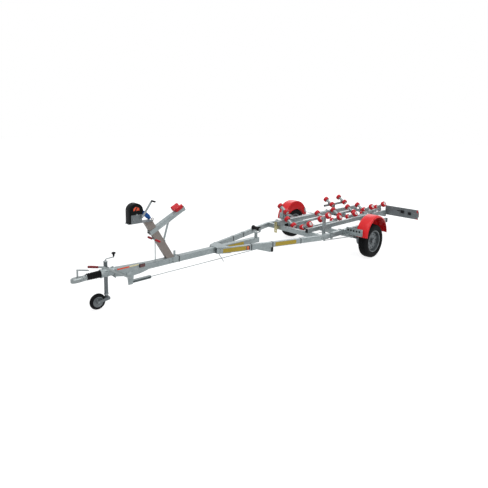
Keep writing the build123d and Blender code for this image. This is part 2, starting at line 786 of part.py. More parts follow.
# Tail lamp, marker on the left fork beam and red lamp on the nose's left side
marker_distance = 425
marker_width = 55
marker_height = 60
marker_depth = 20
nose_lamp_station = nose_front_station - 360
nose_lamp_length = 80
nose_lamp_depth = 24
nose_lamp_height = 46
with BuildPart() as lamps:
    with BuildSketch(Plane.YZ.offset(ahead(-reach_rear))):
        with Locations((half_width - lamp_width / 2, board_z)):
            Rectangle(lamp_width, lamp_height)
    extrude(amount=lamp_depth)
    marker_seat = fork_origin + fork_run * marker_distance + fork_out * beam_width / 2
    with BuildSketch(Plane(origin=marker_seat, x_dir=fork_run, z_dir=fork_out)):
        Rectangle(marker_width, marker_height)
    extrude(amount=marker_depth)
    with Locations((ahead(nose_lamp_station), (drawbar_width + nose_lamp_depth) / 2, frame_top - 8)):
        Box(nose_lamp_length, nose_lamp_depth, nose_lamp_height)
pieces["lamps"] = lamps

# Overrun housing on the nose's flange
flange_thickness = 8
flange_height = 112
with BuildPart() as overrun_housing:
    with Locations((ahead(nose_front_station), 0, shaft_z)):
        Cylinder(housing_radius, housing_front_station - nose_front_station, rotation=(0, 90, 0),
                 align=(Align.CENTER, Align.CENTER, Align.MIN))
    with Locations((ahead(nose_front_station), 0, nose_top)):
        Box(flange_thickness, drawbar_width + 20, flange_height,
            align=(Align.MIN, Align.CENTER, Align.MAX))
pieces["overrun_housing"] = overrun_housing

# Bellows: pleats turned about the drawbar's shaft
pleat_count = 8
pleat_depth = 9
bellows_inner_radius = 30
with BuildPart() as bellows:
    with BuildSketch(Plane.XZ):
        with BuildLine():
            pleat = (bellows_front_station - housing_front_station) / pleat_count
            outline = [(ahead(housing_front_station), shaft_z + bellows_inner_radius)]
            for turn in range(pleat_count):
                radius = bellows_radius if turn % 2 else bellows_radius - pleat_depth
                outline.append((ahead(housing_front_station + turn * pleat), shaft_z + radius))
            outline.append((ahead(bellows_front_station), shaft_z + bellows_radius - pleat_depth - sheet))
            outline.append((ahead(bellows_front_station), shaft_z + bellows_inner_radius))
            Polyline(*outline, close=True)
        make_face()
    revolve(axis=Axis((ahead(ball_station), 0, shaft_z), (1, 0, 0)))
pieces["bellows"] = bellows

# Ball coupling: head with its socket, draw shaft and lock lever
socket_radius = ball_diameter / 2 + 0.5
socket_depth = 40
head_low = ball_z - 16
head_height = 50
head_edge = 12
neck_half = 28
shaft_radius = 27
lock_station = ball_station - 18
lock_foot = (ahead(lock_station), head_low + head_height)
lock_top = (ahead(lock_station), 596)
lock_end = (ahead(lock_station - 128), 566)
with BuildPart() as coupling:
    with BuildSketch(Plane.XY.offset(head_low)):
        with BuildLine():
            tail = ahead(bellows_front_station) + seat_gap
            nose = ahead(reach_front)
            centre = ahead(ball_station)
            half = coupling_width / 2
            ThreePointArc((nose - half, -half), (nose, 0), (nose - half, half))
            Polyline(
                (nose - half, half),
                (centre - 30, half),
                (tail, neck_half),
                (tail, -neck_half),
                (centre - 30, -half),
                (nose - half, -half),
            )
        make_face()
    extrude(amount=head_height)
    chamfer(faces().sort_by(Axis.Z)[-1].edges(), length=head_edge)
    with Locations((ahead(housing_front_station), 0, shaft_z)):
        Cylinder(shaft_radius, ball_station - 45 - housing_front_station, rotation=(0, 90, 0),
                 align=(Align.CENTER, Align.CENTER, Align.MIN))
    with BuildSketch(Plane(origin=(centre, 0, ball_z), x_dir=(1, 0, 0), z_dir=(0, -1, 0))):
        with BuildLine():
            Line((0, -socket_depth), (0, socket_radius))
            RadiusArc((0, socket_radius), (socket_radius, 0), socket_radius)
            Polyline((socket_radius, 0), (socket_radius, -socket_depth), (0, -socket_depth))
        make_face()
    revolve(axis=Axis((centre, 0, ball_z), (0, 0, 1)), mode=Mode.SUBTRACT)
    with BuildSketch(Plane.XZ):
        with BuildLine():
            Polyline(lock_foot, lock_top, lock_end)
            offset(amount=6, side=Side.BOTH)
        make_face()
    extrude(amount=13, both=True)
pieces["coupling"] = coupling

# Handbrake lever with its grip, on the left of the housing
lever_y = drawbar_width / 2 + 22
lever_pivot_station = nose_front_station - 195
lever_pivot_z = 362
lever_bend = Vector(ahead(lever_pivot_station + 355), lever_y, 583)
lever_tip = Vector(ahead(lever_pivot_station + 415), lever_y, 598)
lever_run = (lever_tip - lever_bend).normalized()
lever_half_width = 11
lever_half_thickness = 4
grip_seat = lever_tip + lever_run * (lever_half_width + seat_gap)
grip_radius = 15
grip_length = 125
with BuildPart() as handbrake_lever:
    with BuildSketch(Plane.XZ.offset(-lever_y)):
        with BuildLine():
            Polyline(
                (ahead(lever_pivot_station), lever_pivot_z),
                (lever_bend.X, lever_bend.Z),
                (lever_tip.X, lever_tip.Z),
            )
            offset(amount=lever_half_width, side=Side.BOTH)
        make_face()
    extrude(amount=lever_half_thickness, both=True)
pieces["handbrake_lever"] = handbrake_lever

with BuildPart() as red_grips:
    with BuildSketch(Plane(origin=grip_seat, z_dir=lever_run)):
        Circle(grip_radius)
    extrude(amount=grip_length)
    for side in (1, -1):
        grip_y = brace_y + side * (brace_grip_near + brace_grip_far) / 2
        with Locations((ahead(brace_station), grip_y, brace_z)):
            Cylinder(grip_radius, brace_grip_far - brace_grip_near, rotation=(90, 0, 0))
pieces["red_grips"] = red_grips

# Brake linkage: bracket plate, spring channel and pull rod
plate_thickness = 6
plate_top = 440
plate_low = 275
rod_z = 302
rod_y = 20
rod_radius = 5
rod_rear_station = 200
channel_rear_station = nose_rear_station + 15
channel_length = 300
channel_width = 40
channel_height = 34
channel_wall = 4
with BuildPart() as brake_linkage:
    with BuildSketch(Plane.XZ.offset(-drawbar_width / 2)):
        with BuildLine():
            Polyline(
                (ahead(lever_pivot_station + 50), plate_top),
                (ahead(lever_pivot_station - 55), plate_top),
                (ahead(lever_pivot_station - 30), plate_low),
                (ahead(lever_pivot_station + 30), plate_low),
                close=True,
            )
        make_face()
    extrude(amount=-plate_thickness)
    with Locations((ahead(lever_pivot_station), drawbar_width / 2 + plate_thickness, lever_pivot_z)):
        Cylinder(9, lever_y - lever_half_thickness - plate_thickness - drawbar_width / 2,
                 rotation=(-90, 0, 0), align=(Align.CENTER, Align.CENTER, Align.MIN))
    with Locations((ahead(channel_rear_station), drawbar_width / 2, rod_z)):
        Box(channel_length, channel_width, channel_height, align=(Align.MIN, Align.MAX, Align.CENTER))
        Box(channel_length, channel_width - 2 * channel_wall, channel_height - 2 * channel_wall,
            align=(Align.MIN, Align.MAX, Align.CENTER), mode=Mode.SUBTRACT)
    with Locations((ahead(channel_rear_station), rod_y, rod_z)):
        Box(6, channel_width - channel_wall, channel_height - channel_wall,
            align=(Align.MIN, Align.CENTER, Align.CENTER))
    with Locations((ahead(rod_rear_station), rod_y, rod_z)):
        Cylinder(rod_radius, channel_rear_station - rod_rear_station, rotation=(0, 90, 0),
                 align=(Align.CENTER, Align.CENTER, Align.MIN))
        Box(12, 30, axle_z - axle_radius - rod_z, align=(Align.CENTER, Align.CENTER, Align.MIN))
pieces["brake_linkage"] = brake_linkage

# Jockey wheel: outer tube in its clamp, crank, leg, fork and wheel
leg_top = jockey_tube_low + jockey_travel + jockey_leg_hold
leg_low = 142
leg_end_wall = 6
pin_radius = 9
pin_length = 12
clamp_block_length = 60
clamp_block_height = 56
with BuildPart() as jockey_tube:
    with Locations((ahead(jockey_station), jockey_y, jockey_tube_low)):
        Cylinder(jockey_tube_radius, jockey_tube_top - jockey_tube_low,
                 align=(Align.CENTER, Align.CENTER, Align.MIN))
    with Locations((ahead(jockey_station), jockey_y, shaft_z)):
        Box(clamp_block_length, -jockey_y, clamp_block_height,
            align=(Align.CENTER, Align.MIN, Align.CENTER))
    with Locations((ahead(jockey_station), 0, shaft_z)):
        Cylinder(housing_radius + seat_gap, clamp_block_length, rotation=(0, 90, 0), mode=Mode.SUBTRACT)
    with Locations((ahead(jockey_station), jockey_y, jockey_tube_low)):
        Cylinder(jockey_leg_radius + 0.3, leg_top + 8 - jockey_tube_low,
                 align=(Align.CENTER, Align.CENTER, Align.MIN), mode=Mode.SUBTRACT)
pieces["jockey_tube"] = jockey_tube

winder_reach = 110
winder_rise = 30
winder_radius = 6
knob_radius = 12
knob_height = 55
with BuildPart() as jockey_crank:
    with BuildLine() as crank_line:
        FilletPolyline(
            (ahead(jockey_station), jockey_y, jockey_tube_top),
            (ahead(jockey_station), jockey_y, jockey_tube_top + winder_rise),
            (ahead(jockey_station) - winder_reach, jockey_y, jockey_tube_top + winder_rise + winder_radius),
            radius=18,
        )
    with BuildSketch(Plane(origin=crank_line.line @ 0, z_dir=crank_line.line % 0)):
        Circle(winder_radius)
    sweep(path=crank_line.line)
    with Locations((ahead(jockey_station) - winder_reach, jockey_y, jockey_tube_top + winder_rise)):
        Cylinder(knob_radius, knob_height, align=(Align.CENTER, Align.CENTER, Align.MIN))
pieces["jockey_crank"] = jockey_crank

with BuildPart() as jockey_leg:
    with Locations((ahead(jockey_station), jockey_y, leg_low)):
        Cylinder(jockey_leg_radius, leg_top - leg_low, align=(Align.CENTER, Align.CENTER, Align.MIN))
        Cylinder(pin_radius, leg_top - leg_low - leg_end_wall, align=(Align.CENTER, Align.CENTER, Align.MIN),
                 mode=Mode.SUBTRACT)
pieces["jockey_leg"] = jockey_leg

jockey_hub_radius = 62
jockey_axle_radius = 8
fork_half = jockey_width / 2 + 8
fork_rear = ahead(jockey_station) - 33
cheek_half = 16
swivel_height = 8
wheel_station = jockey_station + jockey_trail
with BuildPart() as jockey_fork:
    with Locations((ahead(jockey_station), jockey_y, leg_low)):
        Cylinder(jockey_leg_radius - 3, swivel_height, align=(Align.CENTER, Align.CENTER, Align.MAX))
        Cylinder(pin_radius - shaft_gap, pin_length, align=(Align.CENTER, Align.CENTER, Align.MIN))
    with Locations((fork_rear, jockey_y, leg_low - swivel_height)):
        Box(49, 2 * fork_half + 4, 6, align=(Align.MIN, Align.CENTER, Align.MAX))
    for face in (1, -1):
        with BuildSketch(Plane.XZ.offset(-(jockey_y + face * fork_half))):
            with BuildLine():
                Polyline(
                    (fork_rear, leg_low - swivel_height),
                    (ahead(jockey_station) + 23, leg_low - swivel_height),
                    (ahead(wheel_station) + cheek_half, jockey_radius + 12),
                    (ahead(wheel_station) + cheek_half, jockey_radius - cheek_half),
                    (ahead(wheel_station) - cheek_half, jockey_radius - cheek_half),
                    (fork_rear, leg_low - 40),
                    close=True,
                )
            make_face()
        extrude(amount=2, both=True)
    with Locations((ahead(wheel_station), jockey_y, jockey_radius)):
        Cylinder(jockey_axle_radius, 2 * fork_half + 12, rotation=(90, 0, 0))
pieces["jockey_fork"] = jockey_fork

# columns of half the wheel's section: radius, distance from the wheel's middle
jockey_profile = [
    (jockey_axle_radius + shaft_gap, jockey_width / 2),
    (24, jockey_width / 2),
    (jockey_hub_radius, jockey_width / 2 - 16),
    (jockey_radius - 8, jockey_width / 2 - 6),
    (jockey_radius, jockey_width / 2 - 20),
]
with BuildPart() as jockey_wheel:
    with BuildSketch(Plane(origin=(ahead(wheel_station), jockey_y, jockey_radius), z_dir=(0, 0, 1))):
        with BuildLine():
            near_side = [(radius, -along) for radius, along in jockey_profile]
            Polyline(*near_side, *reversed(jockey_profile), close=True)
        make_face()
    revolve(axis=Axis((ahead(wheel_station), jockey_y, jockey_radius), (0, 1, 0)))
pieces["jockey_wheel"] = jockey_wheel


def post_section(inset):
    """Side view of the leaning winch post, drawn in by inset at its front and rear."""
    with BuildSketch(Plane.XZ) as section:
        with BuildLine():
            Polyline(
                (ahead(post_base_rear_station) + inset, frame_top),
                (ahead(post_base_front_station) - inset, frame_top),
                (ahead(post_base_front_station + post_lean) - inset, post_top_z),
                (ahead(post_base_rear_station + post_lean) + inset, post_top_z),
                close=True,
            )
        make_face()
    return section.sketch


# Winch post, leaning forward: a box tube, open at its ends
with BuildPart() as winch_post:
    extrude(post_section(0), amount=post_width / 2, both=True)
    extrude(post_section(post_wall + 1), amount=post_width / 2 - post_wall, both=True, mode=Mode.SUBTRACT)
pieces["winch_post"] = winch_post

# Winch frame: base plate and two side plates
winch_plate_y = 54
winch_base_length = 345
winch_base_thickness = 6
winch_plate_length = 150
drum_shaft_radius = 10
winch_floor = post_top_z + winch_base_thickness
with BuildPart() as winch_frame:
    with Locations((ahead(post_base_rear_station + post_lean), 0, post_top_z)):
        Box(winch_base_length, 2 * winch_plate_y + 8, winch_base_thickness,
            align=(Align.MIN, Align.CENTER, Align.MIN))
    for side in (1, -1):
        with BuildSketch(Plane.XZ.offset(-side * winch_plate_y)):
            with Locations((ahead(winch_station), winch_floor)):
                Rectangle(winch_plate_length, winch_z - winch_floor, align=(Align.CENTER, Align.MIN))
            with Locations((ahead(winch_station), winch_z)):
                Circle(winch_plate_length / 2)
                Circle(drum_shaft_radius, mode=Mode.SUBTRACT)
        extrude(amount=2, both=True)
pieces["winch_frame"] = winch_frame

# Winch hood: an arched cover, cut away where the side plates and the strap show
hood_z = hood_top - hood_radius


def hood_section(inset):
    """Arched side view of the hood, drawn in by inset all round but at its foot."""
    reach = hood_radius - inset
    foot = winch_floor + seat_gap
    middle = ahead(winch_station)
    with BuildSketch(Plane.XZ) as section:
        with BuildLine():
            Line((middle + reach, foot), (middle + reach, hood_z))
            CenterArc((middle, hood_z), reach, 0, 180)
            Polyline((middle - reach, hood_z), (middle - reach, foot), (middle + reach, foot))
        make_face()
    return section.sketch


with BuildPart() as winch_hood:
    extrude(hood_section(0), amount=hood_half_width, both=True)
    extrude(hood_section(sheet), amount=hood_half_width - sheet, both=True, mode=Mode.SUBTRACT)
    with Locations((ahead(winch_station) + hood_radius - sheet, 0, winch_z - 5)):
        Box(3 * hood_radius, 3 * hood_radius, 200, align=(Align.MAX, Align.CENTER, Align.MAX),
            mode=Mode.SUBTRACT)
    with Locations((ahead(winch_station) - hood_radius + 20, 0, winch_z + 30)):
        Box(60, 3 * hood_radius, 200, align=(Align.MAX, Align.CENTER, Align.MAX), mode=Mode.SUBTRACT)
pieces["winch_hood"] = winch_hood

# Winch drum with its strap, which leaves the roll at the rear
drum_gap = 2
drum_flange_radius = 66
drum_core_radius = 25
gear_thickness = 14
drum_reach = winch_plate_y - 2 - drum_gap
with BuildPart() as winch_drum:
    with BuildSketch(Plane(origin=(ahead(winch_station), 0, winch_z), z_dir=(0, 0, 1))):
        with BuildLine():
            Polyline(
                (0, -drum_reach - 8),
                (drum_shaft_radius - shaft_gap, -drum_reach - 8),
                (drum_shaft_radius - shaft_gap, -drum_reach),
                (drum_flange_radius, -drum_reach),
                (drum_flange_radius, -drum_reach + 4),
                (drum_core_radius, -drum_reach + 4),
                (drum_core_radius, drum_reach - gear_thickness),
                (drum_flange_radius, drum_reach - gear_thickness),
                (drum_flange_radius, drum_reach),
                (drum_shaft_radius - shaft_gap, drum_reach),
                (drum_shaft_radius - shaft_gap, drum_reach + 8),
                (0, drum_reach + 8),
                close=True,
            )
        make_face()
    revolve(axis=Axis((ahead(winch_station), 0, winch_z), (0, 1, 0)))
pieces["winch_drum"] = winch_drum

strap_y = -5
strap_roll_radius = 52
strap_roll_width = 70
strap_width = 50
strap_start = (ahead(winch_station) - 51, winch_z + 18.4)
strap_end = (ahead(winch_station - 238), 1058)
hook_radius = 14
hook_wire = 4
with BuildPart() as strap_roll:
    with Locations((ahead(winch_station), strap_y, winch_z)):
        Cylinder(strap_roll_radius, strap_roll_width, rotation=(90, 0, 0))
        Cylinder(drum_core_radius, strap_roll_width, rotation=(90, 0, 0), mode=Mode.SUBTRACT)
pieces["strap_roll"] = strap_roll

with BuildPart() as strap_tail:
    with BuildSketch(Plane.XZ.offset(-strap_y)):
        with BuildLine():
            Line(strap_start, strap_end)
            offset(amount=2, side=Side.BOTH)
        make_face()
    extrude(amount=strap_width / 2, both=True)
pieces["strap_tail"] = strap_tail

with BuildPart() as strap_hook:
    with Locations((strap_end[0] - hook_radius - hook_wire - 2.2, strap_y, strap_end[1])):
        Torus(hook_radius, hook_wire, rotation=(90, 0, 0))
pieces["strap_hook"] = strap_hook

# Winch crank on the left side plate
crank_station = winch_station - 65
crank_z = 1122
crank_y = 78
crank_end_station = crank_station - 137
crank_end_z = 1314
crank_half_width = 13
crank_half_thickness = 4
crank_seat = winch_plate_y + 2.5
with BuildPart() as winch_crank:
    with Locations((ahead(crank_station), (crank_seat + crank_y) / 2, crank_z)):
        Cylinder(9, crank_y - crank_seat, rotation=(90, 0, 0))
    with BuildSketch(Plane.XZ.offset(-crank_y)):
        with BuildLine():
            Line((ahead(crank_station), crank_z), (ahead(crank_end_station), crank_end_z))
            offset(amount=crank_half_width, side=Side.BOTH)
        make_face()
    extrude(amount=crank_half_thickness, both=True)
    with Locations((ahead(crank_end_station), crank_y + crank_half_thickness, crank_end_z)):
        Cylinder(12, 82, rotation=(90, 0, 0), align=(Align.CENTER, Align.CENTER, Align.MAX))
pieces["winch_crank"] = winch_crank

# Snubber arm: channel that straddles the post, with its strut
arm_low = Vector(ahead(post_base_rear_station + 364), 0, 880)
arm_high = Vector(ahead(post_base_rear_station - 171), 0, 1152)
arm_run = arm_high - arm_low
arm_plane = Plane(origin=arm_low, x_dir=(0, 1, 0), z_dir=arm_run)
arm_inner = post_width + 2 * seat_gap
arm_depth = 58
arm_wall = 5
strut_low = (ahead(post_base_rear_station + 149), 745)
strut_high = (ahead(post_base_rear_station + 71), 1000)
strut_half_width = 14
with BuildPart() as snubber_arm:
    with BuildSketch(arm_plane):
        Rectangle(arm_inner + 2 * arm_wall, arm_depth)
        Rectangle(arm_inner, arm_depth - 2 * arm_wall, mode=Mode.SUBTRACT)
    extrude(amount=arm_run.length)
    with BuildSketch(Plane.XZ):
        with BuildLine():
            Line(strut_high, strut_low)
            offset(amount=strut_half_width, side=Side.BOTH)
        make_face()
    extrude(amount=3, both=True)
    with BuildSketch(Plane.XZ) as clearance:
        add(post_section(0))
        offset(amount=seat_gap, kind=Kind.INTERSECTION, mode=Mode.REPLACE)
    extrude(clearance.sketch, amount=post_width / 2 + seat_gap, both=True, mode=Mode.SUBTRACT)
pieces["snubber_arm"] = snubber_arm

# Bow snubber: a V block on the arm
snubber_distance = 455
snubber_length = 115
with BuildPart() as bow_snubber:
    snubber_seat = arm_low + arm_run.normalized() * snubber_distance
    with BuildSketch(Plane(origin=snubber_seat, x_dir=(0, 1, 0), z_dir=arm_run)):
        with BuildLine():
            Polyline(
                (-60, -29), (60, -29), (72, -80), (52, -92), (0, -45), (-52, -92), (-72, -80),
                close=True,
            )
        make_face()
    extrude(amount=snubber_length)
pieces["bow_snubber"] = bow_snubber

for label, piece in pieces.items():
    piece.part.label = label
    export_step(piece.part, f"parts/{label}.step")
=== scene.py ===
import math
import bmesh
import bpy
import numpy as np
from mathutils import Matrix, Vector


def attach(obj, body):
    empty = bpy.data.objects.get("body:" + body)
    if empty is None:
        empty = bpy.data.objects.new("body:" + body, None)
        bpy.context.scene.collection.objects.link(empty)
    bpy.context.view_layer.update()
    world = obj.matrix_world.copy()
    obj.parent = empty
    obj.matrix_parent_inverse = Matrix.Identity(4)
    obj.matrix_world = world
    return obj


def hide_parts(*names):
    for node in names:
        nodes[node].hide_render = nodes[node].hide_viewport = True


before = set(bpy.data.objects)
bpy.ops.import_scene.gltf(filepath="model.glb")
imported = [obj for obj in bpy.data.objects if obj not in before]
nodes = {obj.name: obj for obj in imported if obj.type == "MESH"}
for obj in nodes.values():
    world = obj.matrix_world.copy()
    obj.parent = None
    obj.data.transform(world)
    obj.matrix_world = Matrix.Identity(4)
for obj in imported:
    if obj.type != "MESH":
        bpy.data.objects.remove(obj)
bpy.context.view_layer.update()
print("frame loaded:", len(nodes), "nodes")

axleX = -1.665  # x of the road wheels' axis
sides = {"left": 1, "right": -1}


def ahead(station):
    # world x of a distance ahead of the road wheels' axis
    return axleX + station


class Value:
    # one shader socket; each operator on it adds a Math node
    def __init__(self, tree, socket):
        self.tree = tree
        self.socket = socket

    def math(self, operation, first, second=0.0):
        made = self.tree.nodes.new("ShaderNodeMath")
        made.operation = operation
        for place, item in zip(made.inputs, (first, second)):
            if isinstance(item, Value):
                self.tree.links.new(item.socket, place)
            else:
                place.default_value = item
        return Value(self.tree, made.outputs[0])

    def __add__(self, other):
        return self.math("ADD", self, other)

    def __radd__(self, other):
        return self.math("ADD", other, self)

    def __sub__(self, other):
        return self.math("SUBTRACT", self, other)

    def __rsub__(self, other):
        return self.math("SUBTRACT", other, self)

    def __mul__(self, other):
        return self.math("MULTIPLY", self, other)

    def __rmul__(self, other):
        return self.math("MULTIPLY", other, self)


class Finish:
    # a material whose nodes are added one by one
    def __init__(self, name):
        self.material = bpy.data.materials.new(name)
        self.material.use_nodes = True
        self.tree = self.material.node_tree
        self.shader = self.tree.nodes["Principled BSDF"]
        self.place = self.node("TexCoord", output="Object")

    def node(self, kind, settings=None, inputs=None, output=0):
        made = self.tree.nodes.new("ShaderNode" + kind)
        for key, setting in (settings or {}).items():
            if key == "stops":
                stops = made.color_ramp.elements
                while len(stops) < len(setting):
                    stops.new(0.5)
                for stop, (position, colour) in zip(stops, setting):
                    stop.position = position
                    stop.color = (*colour, 1.0)
            else:
                setattr(made, key, setting)
        for key, item in (inputs or {}).items():
            if isinstance(item, Value):
                self.tree.links.new(item.socket, made.inputs[key])
            else:
                made.inputs[key].default_value = item
        return Value(self.tree, made.outputs[output])

    def noise(self, scale, detail=3.0, stretch=(1, 1, 1), rough=0.55):
        place = self.node("Mapping", inputs={"Vector": self.place, "Scale": stretch})
        return self.node("TexNoise", inputs={"Vector": place, "Scale": scale, "Detail": detail,
                                             "Roughness": rough})

    def blend(self, factor, first, second):
        colours = [c if isinstance(c, Value) else (*c, 1.0) for c in (first, second)]
        return self.node("Mix", {"data_type": "RGBA"}, {0: factor, 6: colours[0], 7: colours[1]}, output=2)

    def ramp(self, value, low, high):
        # 0 below low, 1 above high, straight between
        return self.node("MapRange", {"clamp": True}, {"Value": value, "From Min": low, "From Max": high})

    def bump(self, height, depth, strength=0.6, under=None):
        inputs = {"Height": height, "Distance": depth, "Strength": strength}
        if under:
            inputs["Normal"] = under
        return self.node("Bump", inputs=inputs)

    def send(self, colour=None, rough=None, metal=None, coat=None, normal=None, **fixed):
        links = {"Base Color": colour, "Roughness": rough, "Metallic": metal, "Coat Weight": coat,
                 "Normal": normal}
        for key, item in links.items():
            if isinstance(item, Value):
                self.tree.links.new(item.socket, self.shader.inputs[key])
            elif item is not None:
                self.shader.inputs[key].default_value = (*item, 1.0) if key == "Base Color" else item
        for key, item in fixed.items():
            self.shader.inputs[key.replace("_", " ")].default_value = item
        return self.material


def zincFinish(name, look):
    # hot-dip zinc: crystal cells, slow clouds and pale bloom in patches
    f = Finish(name)
    cells = f.node("TexVoronoi", inputs={"Vector": f.place, "Scale": look["cells"]}, output="Color")
    cell = f.node("SeparateColor", inputs={"Color": cells}, output="Red")
    clouds = f.noise(look["clouds"], 5.0)
    bloom = f.ramp(f.noise(look["clouds"] * 2.3, 6.0, (1, 1, 1.6)), 0.56, 0.72)
    tone = f.blend(clouds * 0.75 + cell * 0.3 - 0.05, look["dark"], look["light"])
    colour = f.blend(bloom * look["bloom"], tone, look["pale"])
    rough = look["rough"] + 0.16 * clouds + 0.12 * bloom - 0.08 * cell
    grain = f.noise(420, 3.0)
    return f.send(colour, rough, look["metal"] - 0.35 * bloom, None,
                  f.bump(grain + 0.5 * clouds, 0.0006, 0.35))


def plasticFinish(name, look):
    # moulded plastic: slight colour drift, fine grain and a film of dust
    f = Finish(name)
    drift = f.noise(5, 3.0)
    dust = f.ramp(f.noise(14, 6.0), 0.52, 0.8)
    tone = f.blend(drift, look["dark"], look["light"])
    colour = f.blend(dust * look["dust"], tone, (0.5, 0.47, 0.43))
    grain = f.noise(look["grain"], 2.0)
    rough = look["rough"] + 0.1 * drift + 0.25 * look["dust"] * dust
    return f.send(colour, rough, None, None, f.bump(grain, look["depth"], 0.5), Coat_Weight=look["coat"],
                  Coat_Roughness=0.12, Specular_IOR_Level=look.get("shine", 0.25))


def rubberFinish(name, look):
    # rubber: grey scuffing over the black and a fine rough grain
    f = Finish(name)
    scuff = f.ramp(f.noise(9, 7.0, rough=0.7), 0.5, 0.78)
    colour = f.blend(scuff * look["scuff"], look["colour"], look["worn"])
    grain = f.noise(look["grain"], 4.0)
    return f.send(colour, look["rough"] + 0.12 * scuff, None, None, f.bump(grain, 0.0008, 0.5),
                  Specular_IOR_Level=0.09)


def steelFinish(name, look):
    # plated or painted steel: light smears, pin spots and worn high points
    f = Finish(name)
    smear = f.noise(look["smear"], 4.0, (1, 1, 4))
    spots = f.ramp(f.noise(95, 5.0), 0.62, 0.75)
    tone = f.blend(smear, look["dark"], look["light"])
    colour = f.blend(spots * look["spots"], tone, look["worn"])
    rough = look["rough"] + 0.18 * smear + 0.2 * look["spots"] * spots
    return f.send(colour, rough, look["metal"], None, f.bump(f.noise(260, 3.0), 0.0004, 0.4))


def webbingFinish(name, look):
    # woven strap: ribs along the weave, a darker weft and slight fading
    f = Finish(name)
    weave = f.node("TexWave", {"wave_type": "BANDS", "bands_direction": "Y"},
                   {"Vector": f.place, "Scale": 260, "Distortion": 0.4})
    weft = f.node("TexWave", {"wave_type": "BANDS", "bands_direction": "X"},
                  {"Vector": f.place, "Scale": 180, "Distortion": 0.5})
    fade = f.noise(22, 4.0)
    colour = f.blend(0.35 * weave + 0.4 * fade + 0.15 * weft, look["dark"], look["light"])
    return f.send(colour, look["rough"] + 0.1 * fade, None, None, f.bump(weave + 0.6 * weft, 0.0006, 0.6))


